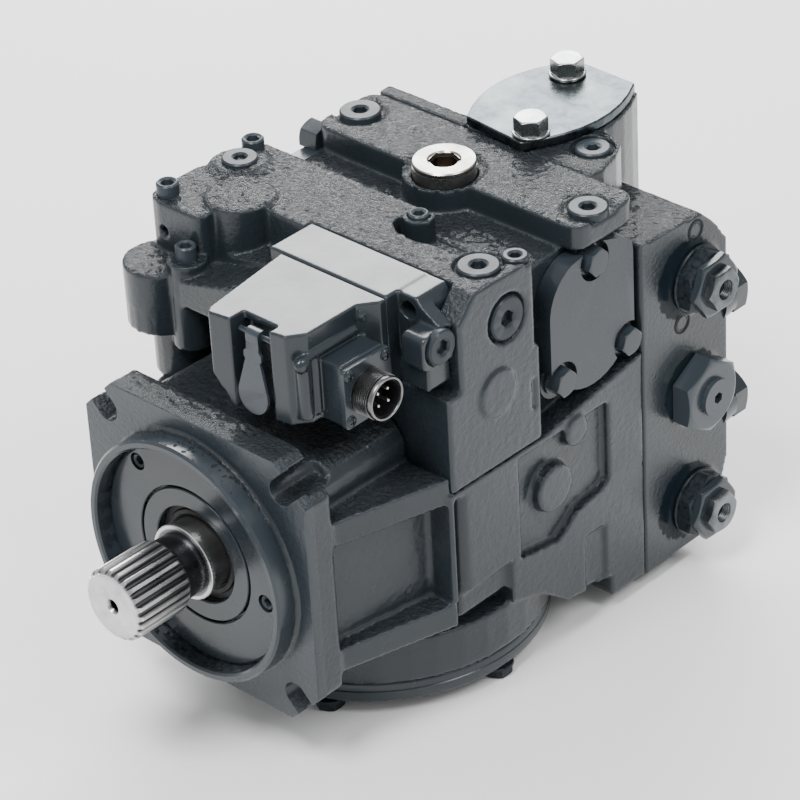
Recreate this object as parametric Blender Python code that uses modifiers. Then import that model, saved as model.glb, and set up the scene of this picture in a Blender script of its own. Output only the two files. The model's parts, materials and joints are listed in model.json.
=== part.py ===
"""Axial piston pump with a servo-controlled swashplate and an electric displacement control.

Lengths are millimetres until `metres` turns them into Blender units. Pump coordinates:
the origin is the centre of the mounting flange's front face, on the shaft's axis; +Y runs back
from the flange to the end cap, +Z is up, and +X is the side that carries the valve cartridges.
The empty `pump` then puts the middle of the pump's footprint at the world origin.
"""

import math

import bmesh
import bpy
from mathutils import Matrix, Vector

# ---- driving dimensions -------------------------------------------------------------------
FIT_GAP = 0.3              # between faces that touch on the real pump
RUNNING_GAP = 0.1          # radial, between a piston and its bore

FLANGE_HALF = 72.5         # square four-bolt flange
FLANGE_THICK = 17.0
FLANGE_CHAMFER = 19.0
BOLT_HALF = 57.25          # bolt square of 114.5
SLOT_WIDTH = 14.3
PILOT_R = 63.5             # pilot of 127 diameter
PILOT_HIGH = 12.7
PILOT_WALL = 4.5

SHAFT_END_Y = -57.6
SPLINE_TEETH = 23          # 16/32 diametral pitch
SPLINE_TIP_R = 18.7
SPLINE_ROOT_R = 17.0
SPLINE_END_Y = -24.0

CASE_HALF_X = 90.0
CASE_FRONT_Y = 77.0
CASE_BACK_Y = 216.0
SPLIT_Z = 28.0             # joint between the housing and the control block
TOP_Z = 128.0
BLOCK_FRONT_Y = 79.0
BLOCK_BACK_Y = 143.0
CAVITY_R = 62.0
CAP_BACK_Y = 282.0
CAP_PAD_Y = 293.0          # raised pad under the charge pump's cover

PIVOT_Y = 116.0            # the swashplate's tilt axis: vertical, through the shaft's axis
SWASH_MAX_DEG = 17.0
PISTONS = 9
BORE_CIRCLE_R = 39.0
BALL_CIRCLE_R = 39.87      # the balls' circle in the tilting plane: 17 degrees narrows it to 38.13
PISTON_R = 9.8
PISTON_PLAY = 1.05         # lets each piston leave its bore's axis by 0.87 as the plate tilts
BARREL_R = 53.5
BARREL_FRONT_Y = 140.0
BARREL_BACK_Y = 205.0
SLIPPER_FACE_Y = 107.3     # where the slippers run on the swashplate

SERVO_Y = 185.0
SERVO_Z = 78.0
SERVO_R = 19.0
ARM_Z = (56.5, 64.5)         # the swashplate's arm, over the cylinder block
TRUNNION_END_Z = 75.0
ADAPTER_Z = 80.0           # underside of the electric control

GEROTOR_TEETH = 6          # inner rotor; the outer one has one more
GEROTOR_OFFSET = 2.4
GEROTOR_CIRCLE_R = 23.0
GEROTOR_ARC_R = 6.5
GEROTOR_Y = (263.0, 275.0)

BOTTOM_COVER_R = 86.0
BOTTOM_Z = -93.0
BOTTOM_BOLT_R = 79.0
BOLT_HEAD = 7.0

CARTRIDGE_TIP_X = 110.0
LEFT_LOBE_X = -101.0
FOOT_Z = BOTTOM_Z - BOLT_HEAD
BACK_BOSS_Y = 301.0
FLAP_PIN = (28.5, 20.0, 121.0)
SPOOL_Y, SPOOL_Z = 91.0, 98.0
CONNECTOR_YZ = (47.0, 94.4)

MM = 0.001
PUMP_CENTRE = ((CARTRIDGE_TIP_X + LEFT_LOBE_X) / 2, (BACK_BOSS_Y + SHAFT_END_Y) / 2, FOOT_Z)
AXIS_TURN = {
    "X": Matrix.Rotation(math.radians(90), 4, "Y"),
    "Y": Matrix.Rotation(math.radians(-90), 4, "X"),
    "Z": Matrix.Identity(4),
}


def metres(*values):
    return Vector(value * MM for value in values)


# ---- scene --------------------------------------------------------------------------------
for old in list(bpy.data.objects):
    bpy.data.objects.remove(old)

parts = bpy.data.collections.new("axial_piston_pump")
cutters = bpy.data.collections.new("cutters")
bpy.context.scene.collection.children.link(parts)
bpy.context.scene.collection.children.link(cutters)

pump = bpy.data.objects.new("pump", None)
pump.location = -metres(*PUMP_CENTRE)
parts.objects.link(pump)


def make_material(name, colour, roughness, metallic):
    material = bpy.data.materials.new(name)
    material.use_nodes = True
    shader = material.node_tree.nodes["Principled BSDF"]
    shader.inputs["Base Color"].default_value = (*colour, 1)
    shader.inputs["Roughness"].default_value = roughness
    shader.inputs["Metallic"].default_value = metallic
    return material


PAINT = make_material("slate_paint", (0.055, 0.075, 0.095), 0.35, 0.0)
STEEL = make_material("ground_steel", (0.62, 0.62, 0.60), 0.28, 1.0)
DARK_STEEL = make_material("blackened_steel", (0.03, 0.035, 0.04), 0.4, 0.6)
BRONZE = make_material("bearing_bronze", (0.55, 0.36, 0.15), 0.35, 1.0)
ZINC = make_material("zinc_plate", (0.60, 0.63, 0.62), 0.32, 1.0)
RUBBER = make_material("seal_rubber", (0.02, 0.02, 0.02), 0.7, 0.0)
NICKEL = make_material("nickel_plate", (0.45, 0.45, 0.44), 0.3, 1.0)


# ---- solids -------------------------------------------------------------------------------
def mesh_from(shape, matrix=None):
    """A mesh in metres from a bmesh in millimetres."""
    if matrix is not None:
        shape.transform(matrix)
    shape.transform(Matrix.Scale(MM, 4))
    mesh = bpy.data.meshes.new("shape")
    shape.to_mesh(mesh)
    shape.free()
    return mesh


def box(low, high, round_axis=None, radius=0.0, steps=3):
    """A block between two corners, its edges along one axis rounded."""
    low, high = Vector(low), Vector(high)
    shape = bmesh.new()
    bmesh.ops.create_cube(shape, size=1)
    size = high - low
    shape.transform(Matrix.Translation((low + high) / 2) @ Matrix.Diagonal((*size, 1)))
    if round_axis:
        way = "XYZ".index(round_axis)
        edges = [e for e in shape.edges if abs((e.verts[0].co - e.verts[1].co)[way]) > 1e-6]
        bmesh.ops.bevel(shape, geom=edges, offset=radius, segments=steps, profile=0.5, affect="EDGES")
    return mesh_from(shape)


def rod(axis, centre, start, end, radius, radius_end=None, sides=24, turn=0.0):
    """A cylinder or cone along X, Y or Z; `centre` is its other two coordinates, in XYZ order."""
    shape = bmesh.new()
    bmesh.ops.create_cone(
        shape, cap_ends=True, segments=sides, depth=end - start,
        radius1=radius, radius2=radius if radius_end is None else radius_end,
    )
    place = list(centre)
    place.insert("XYZ".index(axis), (start + end) / 2)
    spin = Matrix.Rotation(math.radians(turn), 4, "Z")
    return mesh_from(shape, Matrix.Translation(place) @ AXIS_TURN[axis] @ spin)


def ball(centre, radius, sides=16, rings=10, axis="Y"):
    shape = bmesh.new()
    bmesh.ops.create_uvsphere(shape, u_segments=sides, v_segments=rings, radius=radius)
    return mesh_from(shape, Matrix.Translation(centre) @ AXIS_TURN[axis])


def evaluated_mesh(obj, matrix=Matrix.Identity(4)):
    """The object's evaluated mesh, moved, welded and facing out; the object itself goes."""
    bpy.context.view_layer.update()
    graph = bpy.context.evaluated_depsgraph_get()
    mesh = bpy.data.meshes.new_from_object(obj.evaluated_get(graph))
    bpy.data.objects.remove(obj)
    shape = bmesh.new()
    shape.from_mesh(mesh)
    bmesh.ops.remove_doubles(shape, verts=shape.verts, dist=1e-6)
    bmesh.ops.delete(shape, geom=[edge for edge in shape.edges if not edge.link_faces], context="EDGES")
    shape.transform(matrix)
    bmesh.ops.recalc_face_normals(shape, faces=shape.faces)
    if shape.calc_volume(signed=True) < 0:
        bmesh.ops.reverse_faces(shape, faces=shape.faces)
    shape.to_mesh(mesh)
    shape.free()
    return mesh


def plate(axis, outline, start, end):
    """A flat outline, in the other two axes' coordinates, made solid from start to end along axis."""
    curve = bpy.data.curves.new("outline", "CURVE")
    curve.dimensions = "2D"
    curve.fill_mode = "BOTH"
    curve.extrude = (end - start) / 2 * MM
    spline = curve.splines.new("POLY")
    spline.points.add(len(outline) - 1)
    for point, (u, v) in zip(spline.points, outline):
        point.co = (u * MM, v * MM, 0, 1)
    spline.use_cyclic_u = True
    guide = bpy.data.objects.new("outline", curve)
    bpy.context.scene.collection.objects.link(guide)
    axes = {"X": ((0, 1, 0), (0, 0, 1), (1, 0, 0)),
            "Y": ((1, 0, 0), (0, 0, 1), (0, 1, 0)),
            "Z": ((1, 0, 0), (0, 1, 0), (0, 0, 1))}[axis]
    turn = Matrix(axes).transposed().to_4x4()
    place = Vector(axes[2]) * (start + end) / 2 * MM
    return evaluated_mesh(guide, Matrix.Translation(place) @ turn)


def turned(axis, profile, centre=(0, 0), sides=32):
    """A turned shape from (place along axis, radius) pairs, closed on the axis or as a ring."""
    mesh = bpy.data.meshes.new("profile")
    corners = [(radius * MM, 0, place * MM) for place, radius in profile]
    links = [(i, (i + 1) % len(corners)) for i in range(len(corners))]
    mesh.from_pydata(corners, links, [])
    guide = bpy.data.objects.new("profile", mesh)
    bpy.context.scene.collection.objects.link(guide)
    screw = guide.modifiers.new("Screw", "SCREW")
    screw.axis = "Z"
    screw.steps = sides
    screw.render_steps = sides
    screw.use_merge_vertices = True
    screw.merge_threshold = 1e-5
    place = list(centre)
    place.insert("XYZ".index(axis), 0)
    return evaluated_mesh(guide, Matrix.Translation(metres(*place)) @ AXIS_TURN[axis])


def arc(centre, radius, start, end, steps):
    """Points on an arc, in degrees."""
    for i in range(steps + 1):
        angle = math.radians(start + (end - start) * i / steps)
        yield (centre[0] + radius * math.cos(angle), centre[1] + radius * math.sin(angle))


def node(name, mesh, material, origin=(0, 0, 0)):
    """One sub-part. `origin` is in pump coordinates and moves the object's origin, not its shape."""
    mesh.name = name
    mesh.transform(Matrix.Translation(-metres(*origin)))
    mesh.materials.clear()
    mesh.materials.append(material)
    obj = bpy.data.objects.new(name, mesh)
    obj.location = metres(*origin)
    obj.parent = pump
    parts.objects.link(obj)
    mesh.shade_smooth()
    mesh.set_sharp_from_angle(angle=math.radians(30))
    return obj


def combine(obj, operation, meshes):
    for mesh in meshes:
        tool = bpy.data.objects.new(f"{obj.name}_{operation.lower()}", mesh)
        tool.parent = pump
        tool.hide_render = True
        tool.display_type = "WIRE"
        cutters.objects.link(tool)
        modifier = obj.modifiers.new(operation.title(), "BOOLEAN")
        modifier.operation = operation
        modifier.object = tool
    return obj


def join(obj, *meshes):
    return combine(obj, "UNION", meshes)


def cut(obj, *meshes):
    return combine(obj, "DIFFERENCE", meshes)


def hex_rod(axis, centre, start, end, across_flats, turn=0.0):
    return rod(axis, centre, start, end, across_flats / math.sqrt(3), sides=6, turn=turn)


def piston_places(circle_r):
    for i in range(PISTONS):
        angle = 2 * math.pi * i / PISTONS
        yield i + 1, circle_r * math.cos(angle), circle_r * math.sin(angle)


# ---- rotating group -----------------------------------------------------------------------
def spline_teeth():
    """The splined end: a star of 23 blunt teeth, chamfered at its free end."""
    pitch = 2 * math.pi / SPLINE_TEETH
    outline = []
    for tooth in range(SPLINE_TEETH):
        for part, radius in ((-0.36, SPLINE_ROOT_R), (-0.18, SPLINE_TIP_R),
                             (0.18, SPLINE_TIP_R), (0.36, SPLINE_ROOT_R)):
            angle = (tooth + part) * pitch
            outline.append((radius * math.cos(angle), radius * math.sin(angle)))
    return plate("Y", outline, SHAFT_END_Y + 1.5, SPLINE_END_Y + 1)


def drive_shaft():
    profile = [(SHAFT_END_Y, 0), (SHAFT_END_Y, SPLINE_ROOT_R - 0.4), (SPLINE_END_Y, 16.2), (-12, 16.2),
               (-11, 19.5), (46, 19.5), (46, 24), (52, 24), (53, 17.5), (206, 17.5), (206, 15), (238, 15),
               (238, 11), (GEROTOR_Y[1] + 3, 11), (GEROTOR_Y[1] + 3, 0)]
    shaft = node("drive_shaft", turned("Y", profile, sides=24), STEEL)
    join(shaft, spline_teeth())
    cut(shaft, rod("Y", (0, 0), SHAFT_END_Y - 5, SHAFT_END_Y + 14, 3.0, sides=10))


def cylinder_block():
    block = node("cylinder_block", rod("Y", (0, 0), BARREL_FRONT_Y, BARREL_BACK_Y, BARREL_R, sides=28), STEEL)
    cut(block, rod("Y", (0, 0), BARREL_FRONT_Y - 1, BARREL_BACK_Y + 1, 17.9, sides=24))
    cut(block, rod("Y", (0, 0), BARREL_FRONT_Y - 1, 154, 26, sides=20))
    bore_r = (PISTON_R + PISTON_PLAY) / math.cos(math.pi / 16)
    for _, x, z in piston_places(BORE_CIRCLE_R):
        cut(block, rod("Y", (x, z), BARREL_FRONT_Y - 1, 200, bore_r, sides=16))


def block_spring():
    """The spring between the block and the retainer's guide."""
    turns, wire, mean_r = 3.0, 2.2, 22.0
    steps = int(turns * 10)
    curve = bpy.data.curves.new("block_spring", "CURVE")
    curve.dimensions = "3D"
    curve.bevel_depth = wire / 2 * MM
    curve.bevel_resolution = 0
    curve.use_fill_caps = True
    spline = curve.splines.new("POLY")
    spline.points.add(steps)
    first_y, last_y = 130.3, 152.2
    for i, point in enumerate(spline.points):
        angle = 2 * math.pi * turns * i / steps
        along = first_y + (last_y - first_y) * i / steps
        point.co = (*metres(mean_r * math.cos(angle), along, mean_r * math.sin(angle)), 1)
    guide = bpy.data.objects.new("coil", curve)
    bpy.context.scene.collection.objects.link(guide)
    node("block_spring", evaluated_mesh(guide), STEEL)


def slippers_and_pistons():
    """Each slipper's socket and each piston's ball share a centre in the plane of the tilt axis."""
    for number, x, z in piston_places(BALL_CIRCLE_R):
        ball_centre = (x, PIVOT_Y, z)
        slipper = node(
            f"slipper_{number}",
            turned("Y", [(SLIPPER_FACE_Y, 0), (SLIPPER_FACE_Y, 12.3), (SLIPPER_FACE_Y + 3, 12.3),
                         (SLIPPER_FACE_Y + 3.2, 9.4), (PIVOT_Y + 3.5, 9.2), (PIVOT_Y + 3.5, 0)],
                   centre=(x, z), sides=12),
            BRONZE, origin=ball_centre,
        )
        cut(slipper, ball(ball_centre, 7.6, sides=12, rings=6))
        piston = node(
            f"piston_{number}",
            turned("Y", [(PIVOT_Y + 4, 0), (PIVOT_Y + 4, 4.2), (126, 4.2), (129, PISTON_R),
                         (186, PISTON_R), (186, 0)], centre=(x, z), sides=12),
            STEEL, origin=ball_centre,
        )
        join(piston, ball(ball_centre, 6.8, sides=12, rings=6))


def slipper_retainer():
    retainer = node(
        "slipper_retainer",
        rod("Y", (0, 0), SLIPPER_FACE_Y + 3.6, SLIPPER_FACE_Y + 6.8, 53, sides=28),
        STEEL, origin=(0, PIVOT_Y, 0),
    )
    cut(retainer, rod("Y", (0, 0), 100, 120, 25.2, sides=20))
    for _, x, z in piston_places(BALL_CIRCLE_R):
        cut(retainer, rod("Y", (x, z), 100, 120, 11.8, sides=12))


def retainer_guide():
    """A ring whose outside is a ball about the tilt axis, so the retainer can tip on it."""
    radius, bore = 24.0, 17.8
    crown = list(arc((PIVOT_Y, 0), radius, 117, 57, 6))
    node("retainer_guide", turned("Y", [(crown[0][0], bore), *crown, (crown[-1][0], bore)], sides=20), STEEL)


def gerotor():
    """The charge pump's rotors: circular arcs on the outer one, their envelope on the inner one."""
    n = GEROTOR_TEETH
    inner = []
    steps = 12 * n
    for i in range(steps):
        a = 2 * math.pi * i / steps
        x = GEROTOR_CIRCLE_R * math.cos(a) + GEROTOR_OFFSET * math.cos((n + 1) * a)
        z = GEROTOR_CIRCLE_R * math.sin(a) + GEROTOR_OFFSET * math.sin((n + 1) * a)
        dx = -GEROTOR_CIRCLE_R * math.sin(a) - (n + 1) * GEROTOR_OFFSET * math.sin((n + 1) * a)
        dz = GEROTOR_CIRCLE_R * math.cos(a) + (n + 1) * GEROTOR_OFFSET * math.cos((n + 1) * a)
        scale = GEROTOR_ARC_R / math.hypot(dx, dz)
        inner.append((x - dz * scale, z + dx * scale))
    rotor = node("gerotor_inner", plate("Y", inner, *GEROTOR_Y), STEEL)
    cut(rotor, rod("Y", (0, 0), GEROTOR_Y[0] - 5, GEROTOR_Y[1] + 5, 11.3, sides=28))

    clearance = 0.45
    arc_r = GEROTOR_ARC_R - clearance
    root_r = GEROTOR_CIRCLE_R + 2 * GEROTOR_OFFSET - GEROTOR_ARC_R + clearance
    outer = []
    steps = 12 * (n + 1)
    for i in range(steps):
        a = 2 * math.pi * i / steps
        nearest = math.remainder(a, 2 * math.pi / (n + 1))
        under = arc_r ** 2 - (GEROTOR_CIRCLE_R * math.sin(nearest)) ** 2
        radius = root_r
        if under > 0:
            radius = min(root_r, GEROTOR_CIRCLE_R * math.cos(nearest) - math.sqrt(under))
        outer.append((GEROTOR_OFFSET + radius * math.cos(a), radius * math.sin(a)))
    ring = node("gerotor_outer", rod("Y", (GEROTOR_OFFSET, 0), *GEROTOR_Y, 27.4, sides=28), STEEL,
                origin=(GEROTOR_OFFSET, sum(GEROTOR_Y) / 2, 0))
    cut(ring, plate("Y", outer, GEROTOR_Y[0] - 5, GEROTOR_Y[1] + 5))


# ---- swashplate and servo -----------------------------------------------------------------
def swashplate():
    """The tilting plate with its two trunnions and the arm that reaches back to the servo piston."""
    swash = node("swashplate", rod("Y", (0, 0), 90, 107, 53, sides=28), STEEL, origin=(0, PIVOT_Y, 0))
    for side in (1, -1):
        low, high = sorted((side * 48, side * 59))
        join(swash, box((-20, 93, low), (20, 131, high)))
        low, high = sorted((side * 57, side * TRUNNION_END_Z))
        join(swash, rod("Z", (0, PIVOT_Y), low, high, 14, sides=20))
    join(swash, box((-8, 126, ARM_Z[0]), (8, SERVO_Y + 3, ARM_Z[1])))
    join(swash, rod("Z", (0, SERVO_Y), ARM_Z[1] - 2, 84, 5, sides=12))
    cut(swash, rod("Y", (0, 0), 85, 112, 33, 23, sides=20))
    cut(swash, box((-60, 107, -53.9), (60, 140, 53.9)))


def servo_piston():
    piston = node("servo_piston", rod("X", (SERVO_Y, SERVO_Z), -55, 55, SERVO_R - RUNNING_GAP, sides=24), STEEL,
                  origin=(0, SERVO_Y, SERVO_Z))
    cut(piston, box((-14.5, 160, 50), (14.5, 210, ARM_Z[1] + 1)))
    cut(piston, box((-5.7, 175, 60), (5.7, 191, 86)))


def trunnion_bearings():
    for name, low, high in (("trunnion_bearing_upper", 66, 75), ("trunnion_bearing_lower", -75, -62)):
        ring = [(low, 14.3), (low, 17), (high, 17), (high, 14.3)]
        node(name, turned("Z", ring, centre=(0, PIVOT_Y), sides=20), BRONZE)


# ---- fixed inner parts --------------------------------------------------------------------
def valve_plate():
    plate_body = node("valve_plate", rod("Y", (0, 0), BARREL_BACK_Y + FIT_GAP, 209.6, 52, sides=28), BRONZE)
    cut(plate_body, rod("Y", (0, 0), 200, 215, 19, sides=20))
    for middle in (0, 180):
        kidney = list(arc((0, 0), BORE_CIRCLE_R + 6, middle - 60, middle + 60, 6))
        kidney += list(arc((0, 0), BORE_CIRCLE_R - 6, middle + 60, middle - 60, 6))
        cut(plate_body, plate("Y", kidney, 200, 215))


def bearings_and_seal():
    cup = [(20, 20), (20, 33), (43, 33), (43, 20)]
    node("front_bearing", turned("Y", cup, sides=24), STEEL)
    bush = [(213, 15.2), (213, 19), (236, 19), (236, 15.2)]
    node("rear_bearing", turned("Y", bush, sides=20), BRONZE)
    lip = [(-2, 20), (-2, 27), (6, 27), (6, 24.5), (0.5, 24), (3, 20)]
    node("shaft_seal", turned("Y", lip, sides=24), RUBBER)


def seal_carrier():
    """The plate in the pilot's recess that holds the shaft seal, with its three sunk screws."""
    outer = PILOT_R - PILOT_WALL - FIT_GAP
    profile = [(-4, 27.3), (-4, 33.5), (-2.6, 34), (-2.6, 35.5), (-4, 36), (-4, outer),
               (5, outer), (5, 35.5), (12, 35.5), (12, 27.3)]
    carrier = node("seal_carrier", turned("Y", profile, sides=30), PAINT)
    for angle in (132, 252, 12):
        x, z = 51 * math.cos(math.radians(angle)), 51 * math.sin(math.radians(angle))
        cut(carrier, rod("Y", (x, z), -9, 1, 3.4, sides=8))


# ---- castings -----------------------------------------------------------------------------
def flange_plate():
    """The square flange, its corners cut off and opened by the four bolt slots."""
    half, chamfer = FLANGE_HALF, FLANGE_CHAMFER
    corners = [(half, half - chamfer), (half - chamfer, half), (chamfer - half, half), (-half, half - chamfer),
               (-half, chamfer - half), (chamfer - half, -half), (half - chamfer, -half), (half, chamfer - half)]
    return plate("Y", corners, 0, FLANGE_THICK)


def bolt_slots():
    """Each slot runs from its bolt's place outwards through the corner."""
    for degrees in (45, 135, 225, 315):
        angle = math.radians(degrees)
        out, side = Vector((math.cos(angle), math.sin(angle))), Vector((-math.sin(angle), math.cos(angle)))
        middle = Vector((math.copysign(BOLT_HALF, out.x), math.copysign(BOLT_HALF, out.y)))
        half = SLOT_WIDTH / 2
        outline = [tuple(middle + out * 30 - side * half), tuple(middle + out * 30 + side * half)]
        outline += list(arc(middle, half, degrees + 90, degrees + 270, 8))
        yield plate("Y", outline, -5, FLANGE_THICK + 12)


def side_web(side, low, high):
    """A rib from the flange's edge out to the wide part of the case, on one side."""
    outline = [(side * 55, 10), (side * (FLANGE_HALF - 1), 10), (side * (FLANGE_HALF - 1), 18),
               (side * (CASE_HALF_X - 0.5), CASE_FRONT_Y + 4), (side * 55, CASE_FRONT_Y + 4)]
    return plate("Z", outline if side > 0 else outline[::-1], low, high)


def housing():
    """The main case: flange, neck, ribs, wide body and the tower that holds the servo cylinder."""
    case = node("housing", flange_plate(), PAINT)
    join(case, box((-62, 8, -66), (62, CASE_FRONT_Y + 6, 59), round_axis="Y", radius=16, steps=4))
    panel = [(64, 8), (65.6, 21), (75, CASE_FRONT_Y + 0.5), (75, CASE_FRONT_Y + 6)]
    join(case, plate("Z", panel + [(-x, y) for x, y in reversed(panel)], -40, 30))
    join(case, rod("Y", (0, 0), -PILOT_HIGH, 8, PILOT_R, sides=40))
    for side in (1, -1):
        join(case, side_web(side, 23, 37), side_web(side, -48, -34.4))
    body_side = [(CASE_FRONT_Y, -33), (CASE_FRONT_Y, SPLIT_Z - FIT_GAP), (BLOCK_BACK_Y, SPLIT_Z - FIT_GAP),
                 (CASE_BACK_Y, SPLIT_Z - FIT_GAP + 12), (CASE_BACK_Y, -23), (167, -20), (158, -28)]
    join(case, plate("X", body_side, -CASE_HALF_X, CASE_HALF_X))
    join(case, box((-86.5, CASE_FRONT_Y + 0.8, -46), (86.5, CASE_BACK_Y, 10)))
    join(case, box((-76, 90, -80), (76, CASE_BACK_Y, -30), round_axis="Y", radius=14, steps=3))
    half = CASE_HALF_X - 0.1
    lower_side = [(118, -12), (191, -12), (191, -79), (158, -76), (140, -62), (118, -55)]
    join(case, plate("X", lower_side, -half, half))
    rear_flange = [(-half, 5), (-half, -91), (-50, -91), (-50, -80.4), (50, -80.4), (50, -91), (half, -91), (half, 5)]
    join(case, plate("Y", rear_flange, 190.3, CASE_BACK_Y))
    join(case, rod("Z", (0, PIVOT_Y), -80.7, -56, BOTTOM_COVER_R + 1, sides=40))
    join(case, box((-77.5, BLOCK_BACK_Y + FIT_GAP, 20), (77.5, CASE_BACK_Y, 114)))
    join(case, box((-77.5, 173, 100), (77.5, CASE_BACK_Y - 0.5, 120)))
    join(case, box((-82, 172, 114.5), (89.5, CASE_BACK_Y - 1, TOP_Z), round_axis="Z", radius=8))
    join(case, rod("Z", (0, 178), 116, TOP_Z, 21, sides=24))
    recess = [(125, 24), (190, 24), (190, -21), (184, -24), (166, -27), (159, -33), (152, -37), (125, -33)]
    cut(case, plate("X", recess, 85.6, 96), plate("X", recess, -96, -85.6))
    for y, z, radius in ((149.3, -4.4, 12.5), (166, 20, 7.8)):
        join(case, rod("X", (y, z), CASE_HALF_X - 7, CASE_HALF_X + 1.5, radius, sides=20))
    hollow_case(case)


def hollow_case(case):
    cut(case, rod("Y", (0, 0), 52, CASE_BACK_Y + 1, CAVITY_R, sides=32))
    cut(case, rod("Y", (0, 0), -20, 60, 33.3, sides=24))
    cut(case, rod("Y", (0, 0), -20, 12.4, 36, sides=24))
    cut(case, rod("Y", (0, 0), -20, 5.3, PILOT_R - PILOT_WALL, sides=36))
    cut(case, rod("Z", (0, PIVOT_Y), -100, -40, 68, sides=32))
    cut(case, box((-34, 100, 20), (34, 197, ARM_Z[1] + 4)))
    cut(case, box((-200, BLOCK_FRONT_Y - FIT_GAP, SPLIT_Z - FIT_GAP), (200, BLOCK_BACK_Y + FIT_GAP, 70)))
    cut(case, rod("X", (SERVO_Y, SERVO_Z), -100, 100, SERVO_R, sides=24))
    cut(case, rod("Z", (0, 178), 118, TOP_Z + 2, 16.3, sides=24))
    cut(case, *bolt_slots())


def control_block():
    """The upper casting over the swashplate's upper trunnion, which carries the control valve."""
    half, front, back = CASE_HALF_X, BLOCK_FRONT_Y, BLOCK_BACK_Y
    block = node("control_block", box((-half, front, SPLIT_Z), (half, back, ADAPTER_Z - FIT_GAP)), PAINT)
    upper = [(-half, front), (-15, front), (-15, 101), (76, 101), (76, 88), (half, 88), (half, 139),
             (86, back), (-half, back)]
    join(block, plate("Z", upper, 70, 116))
    top = [(-half, front), (-15, front), (-15, 101), (half, 101), (half, 139), (86, back), (-half, back)]
    join(block, plate("Z", top, 108, TOP_Z))
    join(block, box((-96, 70, 92), (-76, 112, TOP_Z), round_axis="Z", radius=8))
    join(block, rod("Z", (-83, 64), 67, 95.5, 18, sides=20))
    join(block, rod("Z", (-79.5, 73.5), 37.3, 72, 15.8, sides=20))
    join(block, rod("Z", (-64, 64.5), 60, 98, 9.8, sides=20))
    join(block, rod("Z", (-57, 96), 100, TOP_Z + 2.5, 17, sides=24))
    join(block, rod("Z", (-80, 119), 122, TOP_Z + 3.2, 16.5, 11, sides=24))
    join(block, rod("X", (112.3, 68.3), 80, half + 1.5, 12, sides=20))
    hollow_block(block)


def front_ledge():
    """The sloping step between the front left lobe and the electric control, round the tall boss."""
    step = bpy.data.objects.new(
        "step", plate("Y", [(-56, 104), (-14, 114.5), (-14, 140), (-56, 140)], 60, 96))
    bpy.context.scene.collection.objects.link(step)
    cut(step, rod("Z", (-57, 96), 90, 150, 17, sides=24))
    shape = step.data.copy()
    bpy.data.objects.remove(step)
    return shape


def hollow_block(block):
    cut(block, front_ledge())
    cut(block, rod("Y", (0, 0), 60, 200, CAVITY_R, sides=32))
    cut(block, box((-34, 87, 20), (34, 200, ARM_Z[1] + 4)))
    cut(block, rod("Z", (0, PIVOT_Y), 50, TRUNNION_END_Z + 1, 17.3, sides=20))


def bottom_cover():
    profile = [(-81, 0), (-81, BOTTOM_COVER_R - 1), (-83, BOTTOM_COVER_R), (-91, BOTTOM_COVER_R),
               (BOTTOM_Z, BOTTOM_COVER_R - 2), (BOTTOM_Z, 0)]
    cover = node("bottom_cover", turned("Z", profile, centre=(0, PIVOT_Y), sides=40), PAINT)
    join(cover, rod("Z", (0, PIVOT_Y), -82, -61, 24, sides=20))
    cut(cover, rod("Z", (0, PIVOT_Y), -TRUNNION_END_Z - 1, -50, 17.3, sides=20))


def bottom_cover_bolts():
    """Four of the six hexagon heads that the pump stands on."""
    for number, degrees in enumerate((0, 65, 180, 295), 1):
        angle = math.radians(degrees)
        place = (BOTTOM_BOLT_R * math.cos(angle), PIVOT_Y + BOTTOM_BOLT_R * math.sin(angle))
        bolt = node(f"bottom_cover_bolt_{number}", hex_rod("Z", place, FOOT_Z, BOTTOM_Z - 1.5, 13), DARK_STEEL,
                    origin=(*place, BOTTOM_Z))
        join(bolt, rod("Z", place, BOTTOM_Z - 2, BOTTOM_Z - FIT_GAP, 8.2, sides=20))


def lens_outline(corners, bulge_left, bulge_right, grow=0.0):
    """Two opposite corners cut straight, and two sides bulging out as arcs."""
    (ax, ay), (bx, by), (cx, cy), (dx, dy) = corners

    def bowed(start, end, bulge, steps=8):
        start, end = Vector(start), Vector(end)
        across = end - start
        outwards = Vector((across.y, -across.x)).normalized()
        return [tuple(start + across * (i / steps) + outwards * bulge * 4 * (i / steps) * (1 - i / steps))
                for i in range(steps + 1)]

    points = bowed((bx, by), (cx, cy), bulge_right) + bowed((dx, dy), (ax, ay), bulge_left)
    if not grow:
        return points
    middle = Vector((sum(p[0] for p in points), sum(p[1] for p in points))) / len(points)
    return [tuple(middle + (Vector(p) - middle) * (1 + grow)) for p in points]


LENS = ((-20, 216), (19, 212), (23, 293), (-15, 294))
RELIEF_VALVES = (("relief_valve_upper", 256.5, 63.5), ("relief_valve_lower", 254.7, -66.5))
CHARGE_RELIEF = (255.5, 0)


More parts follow.
